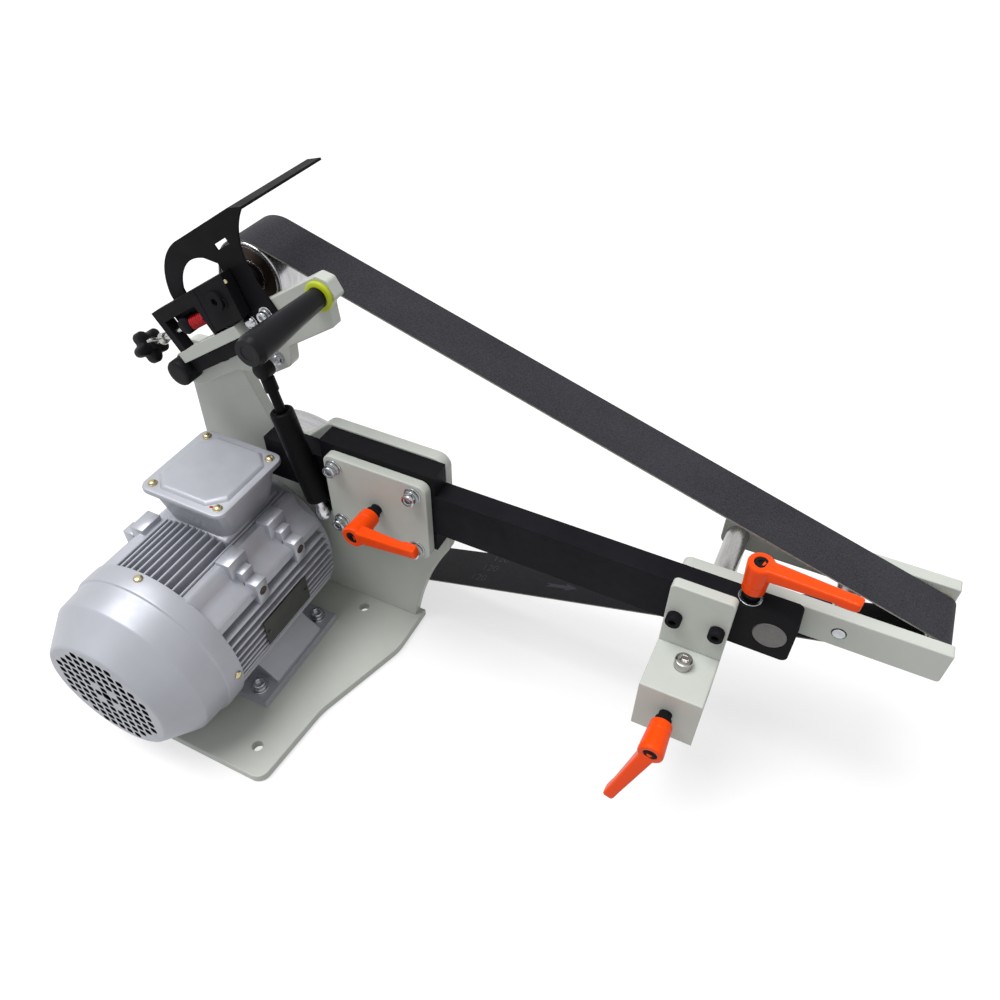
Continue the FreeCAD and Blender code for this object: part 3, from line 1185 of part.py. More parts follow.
def strut_frame(item):
    """Stands a piece made along Z on the strut's foot, at the strut's lean."""
    item.Placement.Rotation = FreeCAD.Rotation(FreeCAD.Vector(0, -1, 0), lean_angle.number)
    bind(item, ".Placement.Rotation.Angle", lean_angle)
    return put(item, strut_foot_x, aft(-strut_y), above(strut_foot_z))


eye_half = 5.5
tube_solid = joined("strut_tube_solid", [
    rod("strut_tube", (0, 0, strut_tube_start), "+Z", strut_tube_r, strut_tube_end - strut_tube_start),
    rod("strut_neck", (0, 0, 0), "+Z", strut_neck_r, strut_tube_start + 2),
    rod("strut_eye", (0, -eye_half, 0), "+Y", strut_socket_r, eye_half * 2)])
tube_bores = [
    rod("strut_eye_bore", (0, -eye_half, 0), "+Y", ball_r + running, eye_half * 2),
    rod("strut_room", (0, 0, strut_tube_start + 6), "+Z", strut_tube_r - 1.5, strut_tube_end - strut_tube_start - 18),
    rod("strut_gland", (0, 0, strut_tube_start + 6), "+Z", strut_rod_r + running, strut_tube_end)]
node("strut_cylinder", strut_frame(cut("strut_cylinder", tube_solid, tube_bores)))
rod_start = strut_tube_start + 36
rod_solid = joined("strut_rod_solid", [
    rod("strut_bar", (0, 0, rod_start), "+Z", strut_rod_r, strut_long - rod_start),
    rod("strut_top_eye", (0, -eye_half, strut_long), "+Y", strut_socket_r, eye_half * 2)])
rod_bore = rod("strut_top_bore", (0, -eye_half, strut_long), "+Y", ball_r + ball_gap, eye_half * 2)
node("strut_rod", strut_frame(cut("strut_rod", rod_solid, [rod_bore])))
stud_start = arm_thick + slide_gap
low_stud = joined("strut_lower_stud", [
    rod("low_stud_bar", (strut_foot_x, aft(-stud_start + 11), above(strut_foot_z)), "-Y", 4,
        strut_y - stud_start + 11 + eye_half - 1),
    ball("low_ball", (strut_foot_x, aft(-strut_y), above(strut_foot_z)), ball_r)])
node("strut_lower_stud", low_stud)

# screws and studs that ride on the tension arm
dome_screws = []
for u in (dome_one_u, dome_two_u):
    dome_screws.append(joined("dome_screw", [
        rod("dome_shank", (u, guard_front, dome_w), "+Y", 2.5, tension_thick + guard_thick),
        cone("dome_head", (u, guard_front, dome_w), "-Y", 6, 4.2, 4.5)]))
upper_stud = joined("upper_stud", [
    rod("upper_stud_bar", (lobe_u, arm_back, lobe_w), "-Y", 4, strut_y + arm_back + eye_half - 1),
    ball("upper_ball", (lobe_u, -strut_y, lobe_w), ball_r)])
hardware = grouped("tension_arm_hardware", dome_screws + [upper_stud, handle_bolt])
node("tension_arm_hardware", arm_frame(hardware))

# ---------------------------------------------------------------- abrasive belt


def belt_loop(extra):
    """The closed path round the three wheels at a distance outside their treads."""
    wheels = [(0.0, number(shaft_height), number(drive_r) + extra),
              (number(tip_x), number(tip_z), number(tip_r) + extra),
              (number(tracking_x), number(tracking_z), number(tracking_r) + extra)]
    edges = []
    leaving = []
    arriving = []
    for index, (x, z, radius) in enumerate(wheels):
        next_x, next_z, next_radius = wheels[(index + 1) % 3]
        along = math.atan2(next_z - z, next_x - x)
        reach = math.hypot(next_x - x, next_z - z)
        normal = along - math.pi / 2 + math.asin((next_radius - radius) / reach) * -1
        leaving.append((normal, x + radius * math.cos(normal), z + radius * math.sin(normal)))
        arriving.append((normal, next_x + next_radius * math.cos(normal), next_z + next_radius * math.sin(normal)))
    for index, (x, z, radius) in enumerate(wheels):
        start = arriving[index - 1]
        end = leaving[index]
        turn = (end[0] - start[0]) % (2 * math.pi)
        middle = start[0] + turn / 2
        points = [FreeCAD.Vector(start[1], 0, start[2]),
                  FreeCAD.Vector(x + radius * math.cos(middle), 0, z + radius * math.sin(middle)),
                  FreeCAD.Vector(end[1], 0, end[2])]
        edges.append(Part.Arc(*points).toShape())
        following = arriving[index]
        edges.append(Part.LineSegment(points[2], FreeCAD.Vector(following[1], 0, following[2])).toShape())
    return Part.Wire(edges)


outer_loop = belt_loop(number(belt_gap + belt_thick))
inner_loop = belt_loop(number(belt_gap))
ring_face = Part.Face(outer_loop).cut(Part.Face(inner_loop))
belt = doc.addObject("Part::Feature", "abrasive_belt")
belt.Shape = ring_face.extrude(FreeCAD.Vector(0, number(belt_wide), 0))
put(belt, 0, aft(belt_mid - belt_wide / 2), base_thick)
node("abrasive_belt", belt)
print("belt length at its middle: %.1f mm" % belt_loop(number(belt_gap + belt_thick / 2)).Length)

# ---------------------------------------------------------------- checks and export
doc.recompute()
for item in doc.Objects:
    if "Invalid" in item.State or "Error" in item.State:
        raise RuntimeError("%s failed: %s" % (item.Label, item.State))
os.makedirs("parts", exist_ok=True)
for item in nodes:
    if item.Shape.isNull() or not item.Shape.isValid():
        raise RuntimeError("%s has no valid shape" % item.Label)
    item.Shape.exportStep("parts/%s.step" % item.Label)
print("%d nodes written" % len(nodes))
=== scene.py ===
# %% [markdown]
# # A bench belt grinder, dressed in Blender
# The machine is a long abrasive belt that runs round three wheels: a big drive wheel on a motor, a tracking
# wheel on a sprung arm, and a small contact tip at the end of a tool arm. Its bare metal shapes come from the
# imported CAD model, which sets every size and place. This lesson gives those shapes their finish, and makes
# again the pieces whose looks need more than a plain solid: castings, levers, screws, the belt and the motor.

# %% The frame that everything fits
import json
import math

import bmesh
import bpy
import numpy as np
from mathutils import Matrix, Vector


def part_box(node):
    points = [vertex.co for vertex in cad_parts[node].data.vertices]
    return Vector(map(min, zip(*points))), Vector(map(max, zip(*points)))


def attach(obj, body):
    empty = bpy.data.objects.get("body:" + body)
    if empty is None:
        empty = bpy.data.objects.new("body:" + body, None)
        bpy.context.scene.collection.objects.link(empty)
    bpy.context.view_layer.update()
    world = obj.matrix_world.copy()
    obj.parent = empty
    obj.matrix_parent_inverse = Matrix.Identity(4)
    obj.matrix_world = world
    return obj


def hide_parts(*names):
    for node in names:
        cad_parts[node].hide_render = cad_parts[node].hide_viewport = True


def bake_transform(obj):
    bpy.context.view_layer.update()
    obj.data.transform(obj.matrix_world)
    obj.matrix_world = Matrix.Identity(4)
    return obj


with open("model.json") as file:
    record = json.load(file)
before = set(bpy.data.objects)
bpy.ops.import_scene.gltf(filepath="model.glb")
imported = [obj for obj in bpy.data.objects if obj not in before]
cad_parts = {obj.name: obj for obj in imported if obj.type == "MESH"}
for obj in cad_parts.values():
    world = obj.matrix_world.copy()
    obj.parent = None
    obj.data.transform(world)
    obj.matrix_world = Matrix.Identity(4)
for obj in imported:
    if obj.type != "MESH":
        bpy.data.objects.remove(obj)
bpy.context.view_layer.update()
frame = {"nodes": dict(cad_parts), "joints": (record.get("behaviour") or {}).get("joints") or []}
joints = {joint["name"]: joint for joint in frame["joints"]}

# %% [markdown]
# ## Lengths, places and directions
# Blender works in metres, and a machine is measured in millimetres, so one factor turns the one into the
# other. Places are read from the frame: a joint gives the axis of a wheel, and a node's box gives a face.

# %% Millimetres, joint places and unit directions
MM = 0.001
ACROSS = np.array([1.0, 0.0, 0.0])
BACK = np.array([0.0, 1.0, 0.0])
UP = np.array([0.0, 0.0, 1.0])


def joint_at(name):
    """The place of a joint in the frame."""
    return np.array(joints[name]["pos_m"], float)


def corners(node):
    """The lowest and highest corner of a node, as arrays."""
    low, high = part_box(node)
    return np.array(low), np.array(high)


def centre(node):
    """The middle of a node's box."""
    low, high = corners(node)
    return (low + high) / 2


shaft = joint_at("drive_spin")
tip = joint_at("tip_spin")
tracking = joint_at("tracking_spin")
arm_pivot = joint_at("tension_swing")
print("shaft axis", shaft, "tip axis", tip, "tracking axis", tracking)

# %% [markdown]
# The tension arm leans, so its pieces are easier to place in a frame of their own: u runs along the arm,
# w square to it, and y straight back. The star knob's joint turns about u, which gives the lean.

# %% Places in the tension arm's own frame
ARM_ALONG = np.array(joints["star_knob_turn"]["axis"], float)
ARM_ALONG = ARM_ALONG / np.linalg.norm(ARM_ALONG)
ARM_SQUARE = np.cross(ARM_ALONG, BACK)


def on_arm(u, y, w):
    """A place u along the arm, w square to it, and y behind the pivot plane, in millimetres."""
    return arm_pivot + ARM_ALONG * u * MM + BACK * y * MM + ARM_SQUARE * w * MM


print("the arm leans %.1f degrees" % math.degrees(math.atan2(ARM_ALONG[2], ARM_ALONG[0])))

# %% [markdown]
# ## Surfaces from numbers
# Most pieces here are grids: a shape is worked out as rings of points, one ring after another, and each ring
# is joined to the next by quads. It is quick, has no loop over vertices, and leaves an even mesh that a
# modifier can finish. A ring that closes is a tube or a turned piece, and end caps make it a solid.

# %% From rings of points to a mesh
SHARP_ANGLE = math.radians(34)


def linked(name, data):
    """A new object that holds a mesh, lamp or camera, put into the scene."""
    item = bpy.data.objects.new(name, data)
    bpy.context.scene.collection.objects.link(item)
    return item


def piece_from(name, points, faces, soft=True):
    """A new object from points and faces. Normals point outwards; edges past the sharp angle stay crisp."""
    mesh = bpy.data.meshes.new(name)
    mesh.from_pydata(np.asarray(points, float).tolist(), [], faces)
    work = bmesh.new()
    work.from_mesh(mesh)
    bmesh.ops.recalc_face_normals(work, faces=work.faces)
    work.to_mesh(mesh)
    work.free()
    if soft:
        mesh.shade_smooth()
        mesh.set_sharp_from_angle(angle=SHARP_ANGLE)
    return linked(name, mesh)


def ring_faces(rows, around, closed=True, first=0, caps=True):
    """The quads between each ring and the next, and the two caps, as index lists."""
    index = first + np.arange(rows * around).reshape(rows, around)
    wide = index if not closed else np.concatenate([index, index[:, :1]], axis=1)
    four = [wide[:-1, :-1], wide[:-1, 1:], wide[1:, 1:], wide[1:, :-1]]
    quads = np.stack(four, axis=-1).reshape(-1, 4).tolist()
    if caps and closed:
        quads += [index[0][::-1].tolist(), index[-1].tolist()]
    return quads


def across_axes(along):
    """Two unit directions square to a direction and to each other."""
    along = np.asarray(along, float) / np.linalg.norm(along)
    helper = UP if abs(along[2]) < 0.9 else ACROSS
    side = np.cross(along, helper)
    side /= np.linalg.norm(side)
    return side, np.cross(along, side)


def full_turn(around):
    """Angles that share a full turn equally, without the last one, which is the first again."""
    return np.arange(around) * 2 * np.pi / around


def spokes_about(along, angle):
    """Unit directions square to an axis, one for each angle: cos angle side + sin angle other."""
    side, other = across_axes(along)
    return np.cos(angle)[:, None] * side + np.sin(angle)[:, None] * other


def turned_points(at, along, profile, around):
    """Rings about an axis: the ring of (radius r, distance s) is at + s along + r (cos angle, sin angle)."""
    along = np.asarray(along, float) / np.linalg.norm(along)
    circle = spokes_about(along, full_turn(around))
    rows = np.asarray(profile, float) * MM
    return (np.asarray(at, float) + rows[:, 1, None, None] * along + rows[:, 0, None, None] * circle)


def turned(name, at, along, profile, around=64, hollow=False):
    """A piece turned on a lathe from a profile of (radius, distance along the axis) in millimetres.
    A hollow one has a profile that closes on itself, so it has no caps."""
    rings = turned_points(at, along, profile, around)
    faces = ring_faces(len(rings), around, caps=not hollow)
    if hollow:
        count = len(rings)
        last = (count - 1) * around + np.arange(around)
        start = np.arange(around)
        faces += np.stack([last, np.roll(last, -1), np.roll(start, -1), start], axis=-1).tolist()
    return piece_from(name, rings.reshape(-1, 3), faces)


def bevelled(item, width, segments=2, angle=30):
    """Rounds every edge of a piece that is sharper than an angle, by a width in millimetres."""
    easing = item.modifiers.new("rounded", "BEVEL")
    easing.width = width * MM
    easing.segments = segments
    easing.limit_method = "ANGLE"
    easing.angle_limit = math.radians(angle)
    easing.harden_normals = True
    return item


print("a ring grid of 3 rows by 8 has", len(ring_faces(3, 8)), "faces")

# %% [markdown]
# A cast or sawn piece is often a flat outline with a thickness. Its outline is given by corners, each with a
# radius; a rounded corner is an arc that touches both edges. The same outline, grown and lifted step by step,
# makes a raised panel or a tapered box.

# %% Rounded outlines and slabs
def rounded_outline(corner_list, steps=6):
    """Corners (x, y, radius) in millimetres as points: an arc touches both edges at each rounded corner."""
    places = np.array([corner[:2] for corner in corner_list], float)
    points = []
    for index, corner in enumerate(corner_list):
        here = places[index]
        before = places[index - 1] - here
        after = places[(index + 1) % len(places)] - here
        radius = corner[2] if len(corner) > 2 else 0
        if radius <= 0:
            points.append(here[None])
            continue
        before /= np.linalg.norm(before)
        after /= np.linalg.norm(after)
        half = math.acos(np.clip(before @ after, -1, 1)) / 2
        middle = here + (before + after) / np.linalg.norm(before + after) * radius / math.sin(half)
        first = here + before * radius / math.tan(half) - middle
        last = here + after * radius / math.tan(half) - middle
        start, end = (math.atan2(spot[1], spot[0]) for spot in (first, last))
        turn = (end - start + math.pi) % (2 * math.pi) - math.pi
        angle = start + turn * np.linspace(0, 1, steps + 1)
        points.append(middle + radius * np.stack([np.cos(angle), np.sin(angle)], axis=-1))
    return np.concatenate(points)


def rectangle(width, height, radius):
    """The corners of a rectangle about the origin, all with one radius."""
    x, y = width / 2, height / 2
    return [(-x, -y, radius), (x, -y, radius), (x, y, radius), (-x, y, radius)]


def placed(outline, at, right, upward):
    """A flat outline in millimetres laid at a place, along two directions."""
    return at + outline[:, :1] * MM * right + outline[:, 1:2] * MM * upward


def slab(name, outline, at, right, upward, thick):
    """An outline with a thickness along right x upward, in millimetres."""
    normal = np.cross(right, upward)
    base = placed(outline, np.asarray(at, float), right, upward)
    rings = np.stack([base, base + normal * thick * MM])
    return piece_from(name, rings.reshape(-1, 3), ring_faces(2, len(outline)))


def lofted(name, sections, soft=True):
    """Sections with equally many points, each (points x 3), joined one to the next and capped."""
    rings = np.stack(sections)
    return piece_from(name, rings.reshape(-1, 3), ring_faces(len(rings), rings.shape[1]), soft)


def merged(name, items):
    """Several new pieces made one object, with their modifiers applied first."""
    depsgraph = bpy.context.evaluated_depsgraph_get()
    work = bmesh.new()
    for item in items:
        shape = bpy.data.meshes.new_from_object(item.evaluated_get(depsgraph))
        work.from_mesh(shape)
        bpy.data.meshes.remove(shape)
    mesh = bpy.data.meshes.new(name)
    work.to_mesh(mesh)
    work.free()
    mesh.set_sharp_from_angle(angle=SHARP_ANGLE)
    for item in items:
        bpy.data.objects.remove(item)
    return linked(name, mesh)


print("a rounded rectangle has", len(rounded_outline(rectangle(40, 20, 4))), "points")

# %% [markdown]
# ## Finishes
# Colours are chosen as they look on a screen, so a helper turns them into the linear numbers that the shader
# wants. Three effects are shared by many finishes, and each is one node group: cloudy patches, fine grain for
# a sprayed or cast skin, and lighter edges, partly wear and partly a painted highlight, found by comparing a
# rounded normal with the true one.

# %% Screen colours and node helpers
def colour(code):
    """A screen colour such as c8d0c8 as linear red, green, blue and alpha."""
    shares = np.array([int(code[index:index + 2], 16) for index in (0, 2, 4)]) / 255
    linear = np.where(shares <= 0.04045, shares / 12.92, ((shares + 0.055) / 1.055) ** 2.4)
    return (*linear.tolist(), 1.0)


def add_node(tree, kind, **values):
    """A node with some of its input sockets or settings given by name."""
    made = tree.nodes.new(kind)
    for key, value in values.items():
        if hasattr(made, key):
            setattr(made, key, value)
        else:
            made.inputs[key.replace("_", " ")].default_value = value
    return made


def new_group(name, inputs, outputs):
    """A shader node group with named sockets: inputs are (kind, name, value), outputs are (kind, name)."""
    group = bpy.data.node_groups.new(name, "ShaderNodeTree")
    for kind, label, value in inputs:
        socket = group.interface.new_socket(label, in_out="INPUT", socket_type="NodeSocket" + kind)
        if value is not None:
            socket.default_value = value
    for kind, label in outputs:
        group.interface.new_socket(label, in_out="OUTPUT", socket_type="NodeSocket" + kind)
    return group, group.nodes.new("NodeGroupInput"), group.nodes.new("NodeGroupOutput")


print("pale paint is", [round(share, 3) for share in colour("c8d0c8")])

# %% Cloudy patches
def build_patches():
    """Soft noise at a scale, stretched to run between a low and a high value."""
    group, given, result = new_group(
        "cloudy_patches",
        [("Vector", "Vector", None), ("Float", "Scale", 20.0), ("Float", "Low", 0.0), ("Float", "High", 1.0)],
        [("Float", "Value")])
    noise = add_node(group, "ShaderNodeTexNoise", Detail=4.0, Roughness=0.6)
    spread = add_node(group, "ShaderNodeMapRange", From_Min=0.3, From_Max=0.7)
    group.links.new(given.outputs["Vector"], noise.inputs["Vector"])
    group.links.new(given.outputs["Scale"], noise.inputs["Scale"])
    group.links.new(noise.outputs["Fac"], spread.inputs["Value"])
    group.links.new(given.outputs["Low"], spread.inputs["To Min"])
    group.links.new(given.outputs["High"], spread.inputs["To Max"])
    group.links.new(spread.outputs["Result"], result.inputs["Value"])
    return group


def build_grain():
    """Height of a sprayed or cast skin: fine noise plus a coarser swell, each with its own share."""
    group, given, result = new_group(
        "skin_grain",
        [("Vector", "Vector", None), ("Float", "Fine Scale", 900.0), ("Float", "Swell Scale", 160.0),
         ("Float", "Swell Share", 0.5)],
        [("Float", "Height")])
    fine = add_node(group, "ShaderNodeTexNoise", Detail=2.0)
    swell = add_node(group, "ShaderNodeTexNoise", Detail=1.0)
    mix = add_node(group, "ShaderNodeMix", data_type="FLOAT")
    for noise, scale in ((fine, "Fine Scale"), (swell, "Swell Scale")):
        group.links.new(given.outputs["Vector"], noise.inputs["Vector"])
        group.links.new(given.outputs[scale], noise.inputs["Scale"])
    group.links.new(given.outputs["Swell Share"], mix.inputs["Factor"])
    group.links.new(fine.outputs["Fac"], mix.inputs["A"])
    group.links.new(swell.outputs["Fac"], mix.inputs["B"])
    group.links.new(mix.outputs["Result"], result.inputs["Height"])
    return group


def build_edges():
    """A mask of edges for wear and a painted highlight: how far a normal rounded over a radius leans from the
    true normal.
    """
    group, given, result = new_group(
        "worn_and_highlit_edges", [("Vector", "Vector", None), ("Float", "Radius", 0.001), ("Float", "Break Up", 60.0)],
        [("Float", "Mask"), ("Vector", "Normal")])
    rounded = add_node(group, "ShaderNodeBevel", samples=4)
    flat = group.nodes.new("ShaderNodeNewGeometry")
    lean = add_node(group, "ShaderNodeVectorMath", operation="DOT_PRODUCT")
    spread = add_node(group, "ShaderNodeMapRange", From_Min=0.98, From_Max=0.8)
    noise = add_node(group, "ShaderNodeTexNoise", Detail=3.0)
    chip = add_node(group, "ShaderNodeMapRange", From_Min=0.4, From_Max=0.65)
    both = add_node(group, "ShaderNodeMath", operation="MULTIPLY")
    group.links.new(given.outputs["Radius"], rounded.inputs["Radius"])
    group.links.new(rounded.outputs["Normal"], lean.inputs[0])
    group.links.new(flat.outputs["Normal"], lean.inputs[1])
    group.links.new(lean.outputs["Value"], spread.inputs["Value"])
    group.links.new(given.outputs["Vector"], noise.inputs["Vector"])
    group.links.new(given.outputs["Break Up"], noise.inputs["Scale"])
    group.links.new(noise.outputs["Fac"], chip.inputs["Value"])
    group.links.new(spread.outputs["Result"], both.inputs[0])
    group.links.new(chip.outputs["Result"], both.inputs[1])
    group.links.new(both.outputs["Value"], result.inputs["Mask"])
    group.links.new(rounded.outputs["Normal"], result.inputs["Normal"])
    return group


PATCHES = build_patches()
GRAIN = build_grain()
EDGES = build_edges()
print("shared effects:", [group.name for group in (PATCHES, GRAIN, EDGES)])

# %% [markdown]
# Every finish here is the same small recipe with its own numbers: a base colour that drifts a little, a
# roughness that drifts too, a lighter tone on edges that is partly wear and partly a painted highlight, and a
# bump for the skin. The rounded normal also softens the crisp edges of a sawn plate, which catches the light as
# a real edge does.

# %% One recipe for painted, cast and plated surfaces
def place_group(tree, group, coordinates, **values):
    """A node group put into a material, fed with coordinates and its own values."""
    made = tree.nodes.new("ShaderNodeGroup")
    made.node_tree = group
    tree.links.new(coordinates, made.inputs["Vector"])
    for key, value in values.items():
        made.inputs[key.replace("_", " ")].default_value = value
    return made


def finish(name, tone, drift, rough, metal=0.0, patches=14.0, edge=None, edge_radius=0.8, bump=0.1,
           bump_deep=0.05, fine=900.0, swell=160.0, swell_share=0.5, coat=0.0, shine=0.5, stretch=(1, 1, 1)):
    """A finish: tone drifts to drift in patches, rough is (low, high), edge is the tone of edges, partly wear
    and partly a painted highlight.
    Shine is how much a bare surface mirrors: 0.5 is glass, and a matt black is well below it.
    Stretch squeezes the pattern along an axis, which draws it out into brush marks."""
    material = bpy.data.materials.new(name)
    material.use_nodes = True
    tree = material.node_tree
    tree.nodes.clear()
    output = tree.nodes.new("ShaderNodeOutputMaterial")
    surface = tree.nodes.new("ShaderNodeBsdfPrincipled")
    surface.inputs["Metallic"].default_value = metal
    surface.inputs["Coat Weight"].default_value = coat
    surface.inputs["Specular IOR Level"].default_value = shine
    place = tree.nodes.new("ShaderNodeTexCoord")
    mapping = add_node(tree, "ShaderNodeMapping")
    mapping.inputs["Scale"].default_value = stretch
    tree.links.new(place.outputs["Object"], mapping.inputs["Vector"])
    spot = mapping.outputs["Vector"]
    cloud = place_group(tree, PATCHES, spot, Scale=patches)
    haze = place_group(tree, PATCHES, spot, Scale=patches * 5, Low=rough[0], High=rough[1])
    skin = place_group(tree, GRAIN, spot, Fine_Scale=fine, Swell_Scale=swell, Swell_Share=swell_share)
    lit_worn_edges = place_group(tree, EDGES, place.outputs["Object"], Radius=edge_radius * MM)
    tint = add_node(tree, "ShaderNodeMix", data_type="RGBA")
    tint.inputs["A"].default_value = colour(tone)
    tint.inputs["B"].default_value = colour(drift)
    tree.links.new(cloud.outputs["Value"], tint.inputs["Factor"])
    # edges take a lighter tone, partly wear and partly a painted highlight where an edge catches the light
    edge_wear_and_highlight = add_node(tree, "ShaderNodeMix", data_type="RGBA")
    edge_wear_and_highlight.inputs["B"].default_value = colour(edge or drift)
    tree.links.new(lit_worn_edges.outputs["Mask"], edge_wear_and_highlight.inputs["Factor"])
    tree.links.new(tint.outputs["Result"], edge_wear_and_highlight.inputs["A"])
    raised = add_node(tree, "ShaderNodeBump", Strength=bump, Distance=bump_deep * MM)
    tree.links.new(skin.outputs["Height"], raised.inputs["Height"])
    tree.links.new(lit_worn_edges.outputs["Normal"], raised.inputs["Normal"])
    tree.links.new(edge_wear_and_highlight.outputs["Result"], surface.inputs["Base Color"])
    tree.links.new(haze.outputs["Value"], surface.inputs["Roughness"])
    tree.links.new(raised.outputs["Normal"], surface.inputs["Normal"])
    tree.links.new(surface.outputs["BSDF"], output.inputs["Surface"])
    return material


pale_paint = finish("pale_paint", "c9cdc6", "c0c4bd", (0.34, 0.46), edge="dde0da", patches=9, bump=0.25,
                    swell=260, shine=0.35)
black_oxide = finish("black_oxide", "151517", "1b1b1e", (0.45, 0.6), edge="29292c", bump=0.3, fine=1400,
                     shine=0.05)
black_bar = finish("black_bar_paint", "16161a", "1e1e22", (0.42, 0.58), edge="2b2b31", bump=0.2, patches=22,
                   shine=0.05)
cast_silver = finish("cast_silver_paint", "b8bac2", "acaeb6", (0.33, 0.45), metal=0.35, edge="d2d4da",
                     edge_radius=0.45, bump=0.1, fine=700, swell=120, shine=0.35)
cover_silver = finish("cover_silver_paint", "b0b2ba", "a8aab2", (0.38, 0.48), metal=0.3, edge="c6c8cf",
                      edge_radius=0.3, bump=0.05, fine=900, shine=0.4)
# painted shade: a near-black finish for the shaded inside of the fan cover
painted_shade_inside = finish("painted_shade_inside", "17171a", "1d1d20", (0.6, 0.8), bump=0.1, shine=0.1)
zinc = finish("zinc_plate", "c4c6c9", "a4a7ab", (0.14, 0.32), metal=1.0, patches=120, edge="dcdcde", bump=0.1,
              edge_radius=0.3)
yellow_zinc = finish("yellow_zinc", "c6b994", "a89b78", (0.16, 0.32), metal=1.0, patches=120, edge_radius=0.3)
ground_steel = finish("ground_steel", "a8a7a5", "bdbcba", (0.2, 0.38), metal=1.0, patches=60, bump=0.2,
                      stretch=(8, 1, 8), edge_radius=0.3)
pin_steel = finish("pin_face_steel", "6e6b6a", "5d5b5b", (0.35, 0.55), metal=0.6, patches=60, bump=0.3)
stainless = finish("stainless", "bdbbb7", "a19f9b", (0.16, 0.28), metal=1.0, patches=100, edge_radius=0.3)
turned_alloy = finish("turned_alloy", "c9c9ca", "aeaeb1", (0.16, 0.3), metal=0.9, patches=30, fine=1500,
                      stretch=(1, 12, 1), bump=0.2)
dark_hub = finish("dark_hub_steel", "3b2f2a", "4a3d36", (0.3, 0.45), metal=0.8, patches=40)
orange_cast = finish("orange_lever_paint", "fb4d04", "f24703", (0.26, 0.38), edge="ff6420", bump=0.1, coat=0.05,
                     shine=0.15)
black_plastic = finish("black_plastic", "111113", "18181b", (0.42, 0.55), edge="222226", bump=0.3, fine=1200,
                       shine=0.1)
handle_rubber = finish("handle_rubber", "131316", "1a1a1e", (0.30, 0.42), edge="242428", bump=0.12, fine=1800,
                       shine=0.12)
strut_black = finish("strut_black", "0b0b0d", "101012", (0.36, 0.48), edge="1e1e21", bump=0.1, shine=0.06)
ring_yellow = finish("ring_yellow_green", "c3d016", "afbd12", (0.25, 0.4), edge="dbe44a", coat=0.2, shine=0.3)
spring_red = finish("spring_red", "bf0f1a", "a80c16", (0.25, 0.4), edge="d8404a", edge_radius=0.2, shine=0.3)
tag_dark = finish("nameplate_dark", "2b2c27", "232420", (0.3, 0.45), metal=0.2, edge="4a4a43", shine=0.3)
core_iron = finish("core_iron", "6a6a6c", "5a5a5c", (0.4, 0.6), metal=0.8)
red_mark = finish("red_inspection_mark", "b51218", "a00f15", (0.4, 0.5), edge_radius=0.2)
print("finishes:", len(bpy.data.materials))

# %% [markdown]
# ## Dressing the CAD pieces
# Plates, bars and blocks already have the right shape, so they only get their finish. One table says which
# finish each node wears. Pieces made again further down leave the table's finish unseen.

# %% Which finish each node wears
WEARS = {
    pale_paint: ["base_plate", "upright_plate", "clamp_plate", "rest_plate", "rest_block", "fork_front_plate",
                 "fork_back_plate", "tension_arm", "tracking_rail"],
    black_oxide: ["receiver_bars", "arm_end_block", "belt_guard", "tracking_bracket", "tracking_block",
                  "lever_insert_1", "lever_insert_2", "lever_insert_3", "tracking_axle"],
    black_bar: ["tool_arm_bar"],
    cast_silver: ["motor_housing", "motor_feet", "drive_end_shield", "fan_end_shield", "terminal_box",
                  "terminal_lid"],
    cover_silver: ["fan_cover"],
    zinc: ["clamp_plate_bolts", "motor_foot_bolts", "rest_screws", "fork_screws", "tension_arm_hardware",
           "strut_lower_stud", "tracking_screw", "tip_axle"],
    ground_steel: ["motor_shaft", "drive_key", "fork_spacers", "motor_bearings", "tip_roller"],
    pin_steel: ["swivel_pin"],
    stainless: ["wing_nut"],
    yellow_zinc: ["motor_cover_screws"],
    turned_alloy: ["drive_wheel", "tracking_wheel"],
    orange_cast: ["lever_handle_1", "lever_handle_2", "lever_handle_3"],
    black_plastic: ["cable_gland", "pivot_bolt", "cooling_fan", "star_knob"],
    handle_rubber: ["tension_handle"],
    strut_black: ["strut_cylinder", "strut_rod"],
    tag_dark: ["nameplate_blank"],
    ring_yellow: ["tension_handle_ring"],
    spring_red: ["tracking_spring"],
    core_iron: ["stator_core", "rotor_core"],
}
for material, wearers in WEARS.items():
    for wearer in wearers:
        mesh = frame["nodes"][wearer].data
        mesh.materials.clear()
        mesh.materials.append(material)
print("dressed", sum(len(wearers) for wearers in WEARS.values()), "of", len(frame["nodes"]), "nodes")


def fitted(item, material, body, slot_name, *stands_for):
    """Gives a new piece its finish and the body that it moves with, and hides the nodes it stands for. The slot
    name is not used.
    """
    item.data.materials.clear()
    item.data.materials.append(material)
    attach(item, body)
    if stands_for:
        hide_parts(*stands_for)
    return item

# %% [markdown]
# ## The motor's fan cover
# The cover is spun from sheet: a plain band over the housing, a soft step, a second band that tapers a
# little, then a straight cone with a crisp start, and a flat face. The face is pierced by a square grid of
# rounded holes that leaves its corners out, so it fills the circle. The shell is a turned profile, outside
# and inside, and the holes are cut from it by a Boolean with one joined cutter.

# %% The cover's shell
cover_low, cover_high = corners("fan_cover")
COVER_WALL = 1.2
COVER_LONG = (cover_high[1] - cover_low[1]) / MM
COVER_START = 6.0
PINHOLE = 0.6  # a turned piece that reaches its axis stops at this radius
cover_front = np.array([shaft[0], cover_high[1], shaft[2]])


